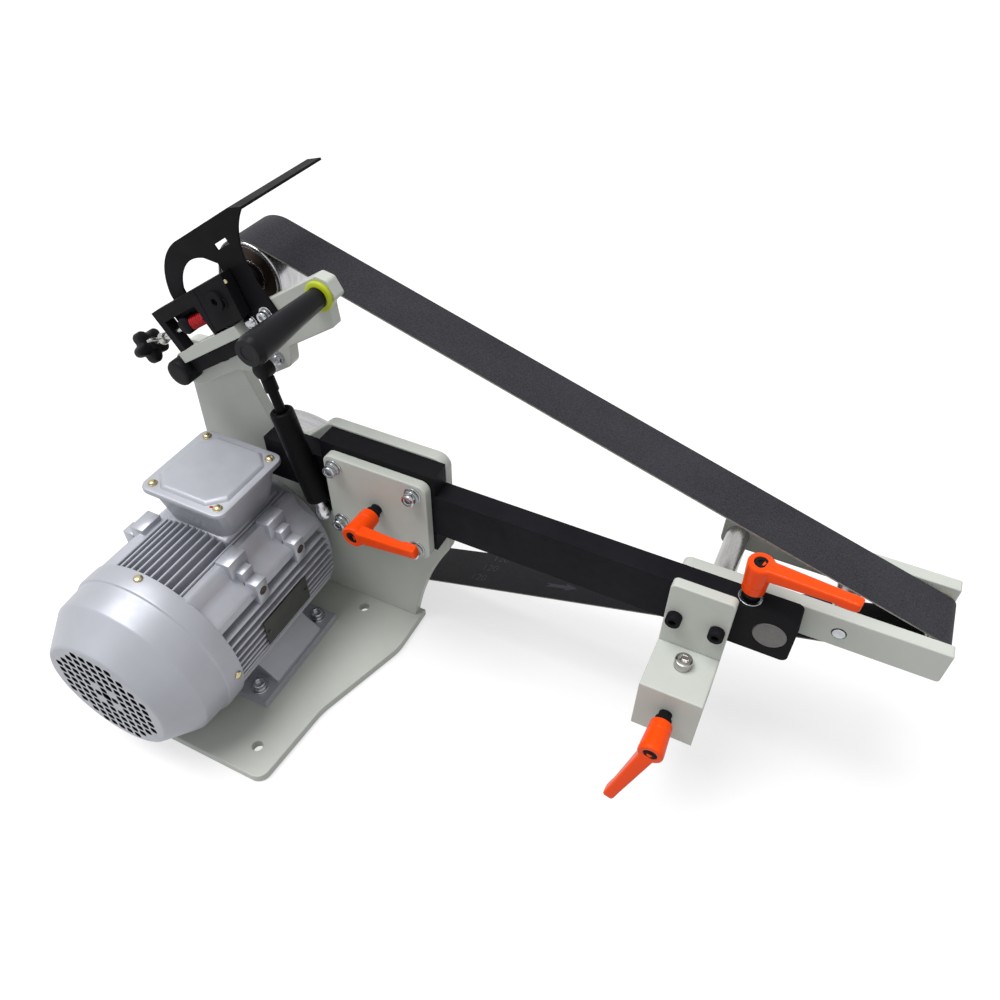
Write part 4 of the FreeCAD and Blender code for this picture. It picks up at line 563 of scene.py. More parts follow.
def cover_profile(inset):
    """The cover's outline as (radius, distance from its open end), moved in by a wall."""
    knots = np.array([(88, COVER_START), (88, 23.5), (87.4, 25.2), (86.0, 26.4), (85.4, 28), (83.6, 51.6),
                      (83.0, 53.0), (82.2, 54.0), (65.2, 80.4), (63.6, 82.6), (61.6, COVER_LONG - 0.2),
                      (59.5, COVER_LONG)], float)
    knots[:, 0] -= inset
    knots[:, 1] -= np.where(knots[:, 1] > 60, inset, 0)
    return knots


outer_wall = cover_profile(0)
inner_wall = cover_profile(COVER_WALL)[::-1]
shell = turned("fan_cover_shell", cover_front, -BACK,
               [(PINHOLE, COVER_LONG), *outer_wall[::-1].tolist(), *inner_wall[::-1].tolist(),
                (PINHOLE, COVER_LONG - COVER_WALL)], around=96, hollow=True)
print("cover %.1f mm long, drawn from %.0f mm on" % (COVER_LONG, COVER_START))

# %% The grid of holes, cut through the face
HOLE_WIDE, HOLE_TALL, HOLE_ROUND = 6.9, 7.7, 2.2
HOLE_PITCH_X, HOLE_PITCH_Z = 9.4, 10.3
GRID_REACH = 5
MIDDLE_HOLE_GROWTH = 1.35
hole_turn = math.radians(3)
hole_shape = rounded_outline(rectangle(HOLE_WIDE, HOLE_TALL, HOLE_ROUND), steps=3)
steps = np.arange(-GRID_REACH, GRID_REACH + 1)
row, column = np.meshgrid(steps, steps, indexing="ij")
near_corner = np.abs(row) + np.abs(column) > GRID_REACH + 2
blank_spot = (np.abs(row) == 1) & (np.abs(column) == 1)
kept = ~(near_corner | blank_spot)
hole_centres = np.stack([column[kept] * HOLE_PITCH_X, row[kept] * HOLE_PITCH_Z], axis=-1)
swell = np.where(np.hypot(*hole_centres.T) < 1, MIDDLE_HOLE_GROWTH, 1.0)
turn = np.array([[math.cos(hole_turn), -math.sin(hole_turn)], [math.sin(hole_turn), math.cos(hole_turn)]])
loops = (hole_centres[:, None, :] + hole_shape[None] * swell[:, None, None]) @ turn
face_y = cover_low[1]
loop_points = np.stack([shaft[0] + loops[..., 0] * MM, np.full(loops.shape[:2], face_y),
                        shaft[2] + loops[..., 1] * MM], -1)
near, far = loop_points - BACK * 4 * MM, loop_points + BACK * 6 * MM
cutter_points = np.stack([near, far], axis=1).reshape(-1, 3)
around = len(hole_shape)
cutter_faces = []
for number in range(len(hole_centres)):
    cutter_faces += ring_faces(2, around, first=number * 2 * around)
cutter = piece_from("hole_cutter", cutter_points, cutter_faces, soft=False)
pierce = shell.modifiers.new("holes", "BOOLEAN")
pierce.operation = "DIFFERENCE"
pierce.solver = "EXACT"
pierce.object = cutter
fan_cover = merged("fan_cover_pierced", [shell])
bpy.data.objects.remove(cutter)
fan_cover.data.shade_smooth()
fan_cover.data.set_sharp_from_angle(angle=math.radians(20))
fitted(fan_cover, cover_silver, "frame", "cast_aluminium", "fan_cover")
print("holes:", len(hole_centres))

# %% The inside of the cover is dark: painted shade on its inner faces and on the holes' walls
# inside faces look towards the axis or the housing; the holes' walls stand square to the face, just behind it
HOLE_WALL_DEEP = 1.6
face_count = len(fan_cover.data.polygons)
face_normals, face_middles = np.zeros(face_count * 3), np.zeros(face_count * 3)
fan_cover.data.polygons.foreach_get("normal", face_normals)
fan_cover.data.polygons.foreach_get("center", face_middles)
face_normals, face_middles = face_normals.reshape(-1, 3), face_middles.reshape(-1, 3)
spokes = (face_middles - shaft) * [1, 0, 1]
inward = (np.einsum("ij,ij->i", face_normals, spokes) < 0) & (face_normals[:, 1] > -0.5)
looks_back = face_normals[:, 1] > 0.5
hole_wall = (np.abs(face_normals[:, 1]) < 0.1) & (face_middles[:, 1] < face_y + HOLE_WALL_DEEP * MM)
inside = inward | looks_back | hole_wall
# these faces wear the near-black finish as painted shade, so the grille holes look dark
fan_cover.data.materials.append(painted_shade_inside)
fan_cover.data.polygons.foreach_set("material_index", inside.astype(int).tolist())
print("dark faces:", int(inside.sum()), "of", face_count)

# %% [markdown]
# ## The finned housing
# A die-cast housing has thin fins that stand straight out from its body: upright ones on top, level ones on
# the sides. Stepped lugs on the two upper corners take feet on other versions of the motor. Each fin is a slab
# whose outer edge follows a circle, tapering a little, so one function of angle and offset makes them all.

# %% Body, fins and lugs
housing_low, housing_high = corners("motor_housing")
HOUSING_LONG = (housing_high[1] - housing_low[1]) / MM
BODY_R, BORE_R, FIN_R, TOP_FIN_R, BELLY_FIN_R = 71.5, 67, 85.0, 84.0, 82.0
FIN_PITCH = 7.6
housing_back = np.array([shaft[0], housing_high[1], shaft[2]])
body_tube = turned("housing_body", housing_back, -BACK,
                   [(BODY_R, 0), (BODY_R, HOUSING_LONG), (BORE_R, HOUSING_LONG), (BORE_R, 0)],
                   around=72, hollow=True)


def fin(name, offset, direction, reach_r, start, end):
    """A fin at an offset from the axis, standing out along a direction to a circle, between two places."""
    outward = np.asarray(direction, float)
    sideways = np.cross(BACK, outward)
    root = math.sqrt(max(BODY_R ** 2 - offset ** 2, 0)) - 2
    crest = math.sqrt(max(reach_r ** 2 - offset ** 2, 0))
    section = np.array([(-1.7, root), (-1.1, crest - 0.8), (-0.6, crest),
                        (0.6, crest), (1.1, crest - 0.8), (1.7, root)])
    line = shaft + sideways * (offset + section[:, :1]) * MM + outward * section[:, 1:] * MM
    ends = [line * [1, 0, 1] + BACK * place for place in (start, end)]
    return lofted(name, ends, soft=False)


housing_pieces = [body_tube]
fin_start, fin_end = housing_low[1] - 3 * MM, housing_high[1]
side_offsets = np.arange(-46, 42, FIN_PITCH)
SIDE_LOW, SIDE_HIGH = -40, 34
for side in (-1, 1):
    for offset in side_offsets:
        if SIDE_LOW <= -offset * side <= SIDE_HIGH:
            housing_pieces.append(fin("side_fin", offset, ACROSS * side, FIN_R, fin_start, fin_end))
box_low, box_high = corners("terminal_box")
BOX_HALF = 34
for offset in FIN_PITCH * np.arange(-5, 6):
    stop = box_low[1] + 4 * MM if abs(offset) < BOX_HALF else fin_end
    housing_pieces.append(fin("top_fin", offset, UP, TOP_FIN_R, fin_start, stop))
for offset in FIN_PITCH * np.arange(-5, 6):
    housing_pieces.append(fin("belly_fin", offset, -UP, BELLY_FIN_R, fin_start, fin_end))
print("fins:", len(housing_pieces) - 1)

# %% Shoulders and stepped lugs on the upper corners
SHOULDER = [(38, 60), (40, 73), (47, 74.5), (50, 73), (54, 62), (60, 56), (71, 51), (74, 47), (75, 40),
            (62, 36)]
LUG_STARTS, LUG_LONG = (26, 84), 24
# each step of a lug: its inner and outer place, its low and top level, and how far it is set in at both ends
LUG_STEPS = ((43, 58, 50, 79, 0), (56, 67, 48, 68, 5), (65, 80, 31, 58, 5))


def cast_block(name, low, high, soft_edge=0.35):
    """A cast block between two corners in millimetres from the shaft axis, with eased edges."""
    low, high = (np.asarray(corner, float) for corner in (low, high))
    size = high - low
    at = shaft * [1, 0, 1] + np.array([(low[0] + high[0]) / 2, low[1], (low[2] + high[2]) / 2]) * MM
    block = slab(name, rounded_outline(rectangle(size[0], size[2], 0)), at, -ACROSS, UP, size[1])
    return bevelled(block, soft_edge)


for side in (-1, 1):
    shoulder = np.array(SHOULDER, float) * [side, 1]
    line = shaft * [1, 0, 1] + shoulder[:, :1] * MM * ACROSS + shoulder[:, 1:] * MM * UP
    housing_pieces.append(lofted("shoulder", [line + BACK * fin_start, line + BACK * fin_end], soft=False))
    for start in LUG_STARTS:
        near = -(start + LUG_LONG) + fin_end / MM
        far = -start + fin_end / MM
        for inner, outer, low, top, inset in LUG_STEPS:
            left, right = sorted((inner * side, outer * side))
            housing_pieces.append(cast_block("lug_step", (left, near + inset, low), (right, far - inset, top)))
seat = cast_block("box_seat", (-36, (box_low[1] / MM) + 4, 66), (36, (box_high[1] / MM) - 4, 79), 2)
housing_pieces.append(seat)
rim = turned("housing_rim", housing_back - BACK * MM, -BACK, [(72, 0), (77.5, 0), (77.5, 8), (72, 8)], 72,
             hollow=True)
housing_pieces.append(rim)
housing = merged("motor_housing_cast", housing_pieces)
fitted(housing, cast_silver, "frame", "cast_aluminium", "motor_housing")
print("housing triangles:", sum(len(face.vertices) - 2 for face in housing.data.polygons))

# %% Painted shade in the lug bosses: a dark ring and a dark floor stand for each threaded hole's shaded inside
hole_shade_rings = []
for side in (-1, 1):
    for start in LUG_STARTS:
        lug_middle = fin_end - (start + LUG_LONG / 2) * MM
        spot = shaft * [1, 0, 1] + BACK * lug_middle + np.array([79.1 * side, 0, 46]) * MM
        hole_shade_rings.append(turned("lug_hole_shade_ring", spot, ACROSS * side,
                                 [(2.6, 0.2), (2.6, 1.25), (4.6, 1.25), (4.6, 0.2)], 24, hollow=True))
        hole_shade_rings.append(turned("lug_hole_shade_floor", spot, ACROSS * side, [(2.7, 0.9), (2.7, 1.02)], 24))
lug_shade_discs = merged("lug_hole_painted_shade", hole_shade_rings)
# the dark finish here is painted shade: no hole is cut, so dark rings and floors stand for the holes' shaded
# inside
fitted(lug_shade_discs, dark_hub, "frame", "cast_aluminium")
print("lug bosses:", len(hole_shade_rings) // 2)

# %% [markdown]
# ## The terminal box and its lid
# The box is a casting that widens upwards, with round corners. Its lid has a lip, four screws in the corners
# and a raised panel that steps in round each screw. Both are one outline, repeated at several heights and
# sizes, which is what a loft is.

# %% Box and lid
BOX_TALL_DRAWN = 38
BOX_STEPS = ((36.0, 0), (36.4, 2), (42.3, 34), (42.6, BOX_TALL_DRAWN))
BOX_CORNER = 13
PANEL_NIP = 14
box_centre = centre("terminal_box")
box_base = np.array([box_centre[0], box_centre[1], box_low[2]])


def square_ring(half, radius, height, base=box_base):
    """A rounded square about the box's middle at a height in millimetres."""
    outline = rounded_outline(rectangle(half * 2, half * 2, radius), 6)
    return placed(outline, base + UP * height * MM, ACROSS, BACK)


box_tall = (box_high[2] - box_low[2]) / MM
box_rings = [square_ring(half, BOX_CORNER, height * box_tall / BOX_TALL_DRAWN) for half, height in BOX_STEPS]
terminal_box = lofted("terminal_box_cast", box_rings)
fitted(terminal_box, cast_silver, "frame", "cast_aluminium", "terminal_box")

lid_low, lid_high = corners("terminal_lid")
lid_base = np.array([box_centre[0], box_centre[1], lid_low[2]])
lid_tall = (lid_high[2] - lid_low[2]) / MM
lip_tall = lid_tall - 3
LID_STEPS = ((45.5, 9, 0), (47.2, 10, 0.6), (47.5, 10, 1.6), (47.5, 10, lip_tall - 1.6),
             (46.9, 9.5, lip_tall - 0.5), (45.6, 9, lip_tall))
lid_rings = [square_ring(half, radius, height, lid_base) for half, radius, height in LID_STEPS]
lid_plate = lofted("lid_plate", lid_rings)


def panel_ring(half, height, nip=PANEL_NIP):
    """The raised panel's outline: a square whose corners are cut off, rounded at every turn."""
    points = []
    for sx, sy in ((-1, -1), (1, -1), (1, 1), (-1, 1)):
        pair = [(sx * half, sy * (half - nip), 3), (sx * (half - nip), sy * half, 3)]
        points += pair if sx * sy > 0 else pair[::-1]
    return placed(rounded_outline(points, 3), lid_base + UP * height * MM, ACROSS, BACK)


panel = lofted("lid_panel", [panel_ring(40.5, lip_tall - 0.5), panel_ring(40.2, lip_tall + 0.2),
                             panel_ring(38.2, lid_tall - 0.7), panel_ring(37.0, lid_tall - 0.1),
                             panel_ring(35.8, lid_tall)])
terminal_lid = merged("terminal_lid_cast", [lid_plate, panel])
fitted(terminal_lid, cover_silver, "frame", "cast_aluminium", "terminal_lid")
print("lid stands %.1f mm tall" % lid_tall)

# %% [markdown]
# ## Screws, washers and studs
# A socket head screw is rings about an axis: round ones for the head, six-sided ones for the socket. A ring's
# radius is then a function of angle, and the flat of a hexagon is the apothem over the cosine of the angle
# from the middle of its side.

# %% Cap screws with hexagon sockets
def hexagon(apothem, angle):
    """The radius of a hexagon at an angle: the apothem over the cosine from the middle of a side."""
    return apothem / np.cos((angle + np.pi / 6) % (np.pi / 3) - np.pi / 6)


def cap_screw(name, at, along, head_r, head_tall, socket, around=48):
    """A cap screw's head, standing from its seat along a direction, with a six-sided socket of a size."""
    along = np.asarray(along, float) / np.linalg.norm(along)
    angle = full_turn(around)
    circle = np.ones(around)
    six = hexagon(socket, angle)
    rings = [(circle * (head_r - 0.2), 0), (circle * head_r, 0.3), (circle * head_r, head_tall - 0.8),
             (circle * (head_r - 0.3), head_tall - 0.25), (circle * (head_r - 0.9), head_tall),
             (six + 0.35, head_tall), (six, head_tall - 0.35), (six, head_tall * 0.45),
             (six * 0.1, head_tall * 0.4)]
    at = np.asarray(at, float)
    spokes = spokes_about(along, angle)
    points = [at + along * height * MM + spokes * radius[:, None] * MM for radius, height in rings]
    return lofted(name, points)


def washer(name, at, along, inner, outer, thick):
    """A flat washer with its edges eased."""
    profile = [(inner, 0), (outer - 0.2, 0), (outer, 0.2), (outer, thick - 0.3), (outer - 0.3, thick),
               (inner, thick)]
    return turned(name, at, along, profile, 40, hollow=True)


def spring_washer(name, at, along, inner, outer, thick):
    """A split ring, drawn as a turn that stops short of itself and climbs by a third of its thickness."""
    along = np.asarray(along, float)
    angle = np.linspace(0.06, 2 * np.pi - 0.06, 49)
    climb = angle / (2 * np.pi) * thick * 0.35
    section = np.array([(inner, 0), (outer, 0), (outer, thick), (inner, thick)])
    spokes = spokes_about(along, angle)
    points = (np.asarray(at, float) + spokes[:, None] * section[None, :, :1] * MM
              + along * (section[None, :, 1:] + climb[:, None, None]) * MM)
    return piece_from(name, points.reshape(-1, 3), ring_faces(len(angle), 4))


SCREW_REACH = 22 * MM


def screw_spots(node, wide):
    """Where the screws of a grouped node are: the middle of each cluster of its points in a plane."""
    mesh = frame["nodes"][node].data
    points = np.zeros(len(mesh.vertices) * 3)
    mesh.vertices.foreach_get("co", points)
    points = points.reshape(-1, 3)[:, wide]
    middles = []
    while len(points):
        near = np.linalg.norm(points - points[0], axis=1) < SCREW_REACH
        low, high = points[near].min(0), points[near].max(0)
        middles.append((low + high) / 2)
        points = points[~near]
    return middles


def washered_screw(seat, along, flat_r, split_r, split_thick, head_tall):
    """An M8 cap screw on its seat: a flat washer, a spring washer and the head, one on the other."""
    flat_thick = 1.4
    return [washer("flat", seat, along, 4.3, flat_r, flat_thick),
            spring_washer("split", seat + along * flat_thick * MM, along, 4.3, split_r, split_thick),
            cap_screw("head", seat + along * (flat_thick + split_thick) * MM, along, 6.4, head_tall, 3.0)]


clamp_face = corners("clamp_plate")[0][1]
clamp_screws = []
for x, z in screw_spots("clamp_plate_bolts", [0, 2]):
    clamp_screws += washered_screw(np.array([x, clamp_face, z]), -BACK, 8.4, 7.0, 1.7, 6.6)
fitted(merged("clamp_plate_screws", clamp_screws), zinc, "frame", "bright_steel", "clamp_plate_bolts")

FOOT_THICK = 10
foot_seat = corners("motor_feet")[0][2] + FOOT_THICK * MM
foot_screws = []
for x, y in screw_spots("motor_foot_bolts", [0, 1]):
    foot_screws += washered_screw(np.array([x, y, foot_seat]), UP, 8.6, 7.2, 1.8, 6.2)
fitted(merged("motor_foot_screws", foot_screws), zinc, "frame", "bright_steel", "motor_foot_bolts")
print("clamp screws:", len(clamp_screws) // 3, "foot screws:", len(foot_screws) // 3)

# %% Black and stainless screws on the work rest
plate_front = corners("rest_plate")[0][1]
block_top = corners("rest_block")[1][2]
ABOVE_BLOCK = 20 * MM
rest_heads = []
for x, z in screw_spots("rest_screws", [0, 2]):
    if z > block_top + ABOVE_BLOCK:
        rest_heads.append(cap_screw("rest_head", (x, plate_front, z), -BACK, 6.5, 8.6, 3.0))
fitted(merged("rest_plate_screws", rest_heads), black_oxide, "tool_arm", "black_steel", "rest_screws")
block_screw_y = corners("rest_screws")[0][1] + 9 * MM
block_screw = cap_screw("block_head", (centre("rest_block")[0], block_screw_y, block_top), UP, 7.5, 9.0, 3.6)
fitted(merged("rest_block_screw", [block_screw]), stainless, "tool_arm", "bright_steel")
print("rest screws:", len(rest_heads), "black and one stainless")

# %% [markdown]
# ## Ratchet levers
# The three orange levers are one casting: a hub that widens upwards and an arm that leaves it near its top,
# rises as it runs out, thins, and ends in a thicker grip. The arm is a loft of rounded rectangles whose width
# and height are functions of the distance from the hub. A black insert below and a socket screw on top hold
# it together.

# %% One lever, placed by its seat, its axis and the way its arm points
LEVER_HUB = [(8.9, 11), (9.4, 11.4), (9.8, 19.4), (9.4, 19.8), (9.4, 20.3), (9.9, 20.7), (10.9, 37),
             (11.0, 40.3), (10.6, 41.4), (9.8, 42), (6.4, 42), (6.1, 41.4), (6.1, 39.6), (PINHOLE, 39.6)]
LEVER_LOW = [(5.4, 0), (5.6, 0.3), (5.6, 5.2), (6.9, 5.7), (7.1, 6.2), (7.1, 9.6), (8.2, 10.2), (8.3, 11.0)]
LEVER_REACH = 76
LEVER_SCREW_SEAT = 39.4


def lever_section(share):
    """The arm's width, lowest and highest level at a share of its length, in millimetres."""
    width = 14.0 - 4.6 * share + 0.7 * np.exp(-((share - 0.97) / 0.08) ** 2)
    low = 28.5 + 18.6 * share - 2.2 / (1 + np.exp(-(share - 0.80) * 60))
    high = 41.4 + 12.6 * share
    return width, low, high


def lever_arm(name, at, axis, along):
    """The arm: rounded rectangles from the hub to the tip, the last few shrinking to round the end."""
    sideways = np.cross(axis, along)
    sections = []
    reach_of = np.array([1, 8, 16, 26, 36, 46, 54, 57, 60, 63, 66, 70, 73, 74.6, 75.6, LEVER_REACH])
    shrink = np.array([1.0] * 12 + [0.98, 0.93, 0.84, 0.7])
    for reach, small in zip(reach_of, shrink):
        width, low, high = lever_section(reach / LEVER_REACH)
        outline = rounded_outline(rectangle(width * small, (high - low) * small, 1.8 * small), 4)
        middle = at + along * reach * MM + axis * (low + high) / 2 * MM
        sections.append(placed(outline, middle, sideways, axis))
    return lofted(name, sections)


def ratchet_lever(number, body):
    """A whole lever on its joint: casting, insert and screw."""
    turn = joints[body + "_turn"]
    at = np.array(turn["pos_m"], float)
    axis = np.array(turn["axis"], float)
    middle = centre("lever_handle_%d" % number) - at
    along = middle - axis * (middle @ axis)
    along /= np.linalg.norm(along)
    casting = merged("lever_casting_%d" % number, [
        turned("hub", at, axis, LEVER_HUB, 56), lever_arm("arm", at, axis, along)])
    fitted(casting, orange_cast, body, "lever_orange", "lever_handle_%d" % number)
    black = [turned("collar", at, axis, LEVER_LOW, 40),
             cap_screw("screw", at + axis * LEVER_SCREW_SEAT * MM, axis, 5.9, 2.6, 2.6)]
    insert = merged("lever_insert_fine_%d" % number, black)
    fitted(insert, black_oxide, body, "black_steel", "lever_insert_%d" % number)
    print("lever", number, "arm points", along.round(2))
    return at, axis


ratchet_lever(1, "clamp_lever")
swivel_seat, swivel_axis = ratchet_lever(2, "swivel_lever")
ratchet_lever(3, "rest_lever")
swivel_ring = washer("swivel_lever_washer", swivel_seat, swivel_axis, 7.4, 9.8, 1.4)
fitted(swivel_ring, zinc, "tool_arm", "bright_steel")

# %% [markdown]
# ## The abrasive belt
# The belt runs over three wheels. A straight run touches two wheels, and the direction square to it is found
# from the difference of their radii over the distance between them. Arcs join the runs. The whole loop is
# sampled as points with outward directions, and stretches of it become pieces; the one over the drive wheel
# moves with the frame.

# %% The loop round the wheels
belt_low, belt_high = corners("abrasive_belt")
BELT_THICK = 1.3
BELT_CLEAR = 0.25


def half_size(node, axis):
    """Half the size of a node's box along an axis, in millimetres: a wheel's radius."""
    low, high = corners(node)
    return (high[axis] - low[axis]) / 2 / MM


wheels = [(shaft, half_size("drive_wheel", 0)), (tip, half_size("tip_roller", 2)),
          (tracking, half_size("tracking_wheel", 2))]


def leave_angle(first, second):
    """The angle of the outward direction of the run between two wheels."""
    (start, start_r), (end, end_r) = first, second
    gap = (end - start)[[0, 2]]
    return math.atan2(gap[1], gap[0]) - math.acos((start_r - end_r) * MM / np.linalg.norm(gap))


leave = [leave_angle(wheels[index], wheels[(index + 1) % 3]) for index in range(3)]


def belt_arc(index, start_share=0.0, end_share=1.0, steps=40):
    """Points and outward directions of the arc on a wheel, between two shares of its turn."""
    middle, radius = wheels[index]
    start = leave[index - 1]
    turn = (leave[index] - start) % (2 * math.pi)
    angle = start + turn * np.linspace(start_share, end_share, steps)
    outward = np.stack([np.cos(angle), np.zeros(steps), np.sin(angle)], -1)
    return middle * [1, 0, 1] + outward * (radius + BELT_CLEAR) * MM, outward


def belt_run(index, start_share, end_share, steps=40):
    """Points and outward directions of the straight after a wheel, between two shares of its length."""
    following = (index + 1) % 3
    angle = leave[index]
    outward = np.array([math.cos(angle), 0, math.sin(angle)])
    start = wheels[index][0] * [1, 0, 1] + outward * (wheels[index][1] + BELT_CLEAR) * MM
    end = wheels[following][0] * [1, 0, 1] + outward * (wheels[following][1] + BELT_CLEAR) * MM
    share = np.linspace(start_share, end_share, steps)[:, None]
    return start + (end - start) * share, np.repeat(outward[None], steps, axis=0)


def run_share(index, x):
    """The share of a straight run at which it passes a place along X."""
    start, end = belt_run(index, 0, 1, 2)[0]
    return (x - start[0]) / (end[0] - start[0])


print("belt %.1f mm wide" % ((belt_high[1] - belt_low[1]) / MM))
print("wheels", [round(radius, 1) for _, radius in wheels])

# %% [markdown]
# The cloth has three looks: grit outside, dark backing inside, and a pale cut edge. They are three finishes on
# one mesh, picked by face. The grit is dense fine noise, with a few grains that catch the light.

# %% Finishes of the belt
def grit_finish(name, dark, light, scale, rough, lift):
    """Coated abrasive: fine grains from two noises, dark between and light on top."""
    material = bpy.data.materials.new(name)
    material.use_nodes = True
    tree = material.node_tree
    tree.nodes.clear()
    output = tree.nodes.new("ShaderNodeOutputMaterial")
    surface = tree.nodes.new("ShaderNodeBsdfPrincipled")
    surface.inputs["Specular IOR Level"].default_value = 0.2
    place = tree.nodes.new("ShaderNodeTexCoord")
    grains = add_node(tree, "ShaderNodeTexVoronoi", feature="F1", Scale=scale)
    dust = place_group(tree, PATCHES, place.outputs["Object"], Scale=scale * 0.45)
    cloud = place_group(tree, PATCHES, place.outputs["Object"], Scale=14.0, Low=-0.12, High=0.12)
    shade = add_node(tree, "ShaderNodeMath", operation="MULTIPLY_ADD")
    shade.inputs[1].default_value = 0.75
    tree.links.new(place.outputs["Object"], grains.inputs["Vector"])
    tree.links.new(dust.outputs["Value"], shade.inputs[0])
    tree.links.new(cloud.outputs["Value"], shade.inputs[2])
    tone = add_node(tree, "ShaderNodeMix", data_type="RGBA", clamp_factor=True)
    tone.inputs["A"].default_value = colour(dark)
    tone.inputs["B"].default_value = colour(light)
    tree.links.new(shade.outputs["Value"], tone.inputs["Factor"])
    tree.links.new(tone.outputs["Result"], surface.inputs["Base Color"])
    gloss = place_group(tree, PATCHES, place.outputs["Object"], Scale=scale * 0.8, Low=rough[0], High=rough[1])
    tree.links.new(gloss.outputs["Value"], surface.inputs["Roughness"])
    raised = add_node(tree, "ShaderNodeBump", Strength=lift, Distance=0.15 * MM)
    tree.links.new(grains.outputs["Distance"], raised.inputs["Height"])
    tree.links.new(raised.outputs["Normal"], surface.inputs["Normal"])
    tree.links.new(surface.outputs["BSDF"], output.inputs["Surface"])
    return material


belt_grit = grit_finish("belt_grit", "1d1c21", "403f46", 1700.0, (0.5, 0.8), 0.6)
belt_backing = grit_finish("belt_backing", "101014", "1b1b20", 700.0, (0.5, 0.65), 0.2)
belt_edge = grit_finish("belt_cut_edge", "8d8880", "b9b4aa", 900.0, (0.7, 0.9), 0.2)
belt_print = finish("belt_print_ink", "43444b", "393a41", (0.6, 0.75), shine=0.2, bump=0.05, edge_radius=0.1)
print("belt finishes:", belt_grit.name, belt_backing.name, belt_edge.name)


# %% Stretches of belt
def belt_piece(name, *stretches):
    """One piece of belt from stretches of (points, outward directions), each a closed strip."""
    points, faces, kinds, first = [], [], [], 0
    for middle, outward in stretches:
        low, high = middle + BACK * belt_low[1], middle + BACK * belt_high[1]
        lift = outward * BELT_THICK * MM
        rings = np.stack([low + lift, high + lift, high, low], axis=1)
        points.append(rings.reshape(-1, 3))
        faces += ring_faces(len(rings), 4, first=first)
        kinds += [0, 1, 2, 1] * (len(rings) - 1) + [1, 1]
        first += len(rings) * 4
    item = piece_from(name, np.concatenate(points), faces)
    for material in (belt_grit, belt_edge, belt_backing):
        item.data.materials.append(material)
    item.data.polygons.foreach_set("material_index", kinds)
    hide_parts("abrasive_belt")
    return item


def end_to_end(*parts):
    """Stretches that follow each other joined as one."""
    points = np.concatenate([parts[0][0]] + [part[0][1:] for part in parts[1:]])
    outward = np.concatenate([parts[0][1]] + [part[1][1:] for part in parts[1:]])
    return points, outward


DRIVE, TIP, TRACKING = 0, 1, 2
CLAMP_X = 0.20  # where the belt leaves the frame's part of the machine for the tool arm's
fork_axis = joint_at("fork_swivel")
low_cut, high_cut = run_share(DRIVE, CLAMP_X), run_share(TIP, CLAMP_X)
low_fork, high_fork = run_share(DRIVE, fork_axis[0]), run_share(TIP, fork_axis[0])
left_cut = 0.72

belt_drive = belt_piece("belt_drive_stretch", end_to_end(
    belt_run(TRACKING, left_cut, 1, 12), belt_arc(DRIVE, steps=64), belt_run(DRIVE, 0, low_cut, 16)))
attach(belt_drive, "frame")
belt_runs = belt_piece("belt_arm_stretch", belt_run(DRIVE, low_cut, low_fork, 48),
                       belt_run(TIP, high_fork, high_cut, 48))
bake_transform(belt_runs)
belt_tip = belt_piece("belt_tip_stretch", end_to_end(
    belt_run(DRIVE, low_fork, 1, 30), belt_arc(TIP, steps=28), belt_run(TIP, 0, high_fork, 30)))
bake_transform(belt_tip)
belt_tracking = belt_piece("belt_tracking_stretch", end_to_end(
    belt_run(TIP, high_cut, 1, 40), belt_arc(TRACKING, steps=40), belt_run(TRACKING, 0, left_cut, 40)))
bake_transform(belt_tracking)

# %% [markdown]
# The backing of a belt is printed in the mill with its grit size and with arrows for its direction. A plain
# number and plain arrows, rows of them in a dull ink, stand for that here, laid just clear of the cloth.

# %% Print on the backing
INK_LIFT = 0.04


def flat_text(words, tall):
    """A word as a flat mesh in the XY plane, its middle at the origin, a height in millimetres."""
    curve = bpy.data.curves.new("print", "FONT")
    curve.body = words
    curve.size = tall * MM
    curve.align_x = "CENTER"
    curve.align_y = "CENTER"
    letter = bpy.data.objects.new("print", curve)
    mesh = bpy.data.meshes.new_from_object(letter)
    bpy.data.objects.remove(letter)
    return mesh


def on_backing(mesh, share, across):
    """Lays a flat mesh on the lower run's backing at a share of the run and a place across it."""
    points, outward = belt_run(DRIVE, share, share + 0.001, 2)
    along = (points[1] - points[0]) / np.linalg.norm(points[1] - points[0])
    spot = points[0] + BACK * (belt_low[1] + across * (belt_high[1] - belt_low[1])) - outward[0] * INK_LIFT * MM
    facing = np.stack([along, BACK, np.cross(along, BACK)], axis=1)
    matrix = Matrix([[*row, value] for row, value in zip(facing.tolist(), spot.tolist())] + [[0, 0, 0, 1]])
    mesh.transform(matrix)
    return mesh


ARROW = [(-17, -2.2), (6, -2.2), (4, -5), (18, 0), (4, 5), (6, 2.2), (-17, 2.2), (-13, 0)]
NUMBER_TALL = 13
# each mark's share of the lower run and its share of the belt's width
NUMBER_SPOTS = ((0.345, 0.86), (0.335, 0.56), (0.325, 0.26), (0.66, 0.86), (0.65, 0.56), (0.64, 0.26))
ARROW_SPOTS = ((0.455, 0.70), (0.475, 0.34), (0.78, 0.70), (0.795, 0.34))
print_items = []
for share, across in NUMBER_SPOTS:
    print_items.append(linked("belt_number", on_backing(flat_text("120", NUMBER_TALL), share, across)))
for share, across in ARROW_SPOTS:
    mesh = bpy.data.meshes.new("belt_arrow")
    mesh.from_pydata([(x * MM, y * MM, 0) for x, y in ARROW], [], [list(range(len(ARROW)))])
    print_items.append(linked("belt_arrow", on_backing(mesh, share, across)))
belt_marks = merged("belt_marks", print_items)
belt_marks.data.materials.append(belt_print)
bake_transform(belt_marks)
print("belt marks:", len(print_items))

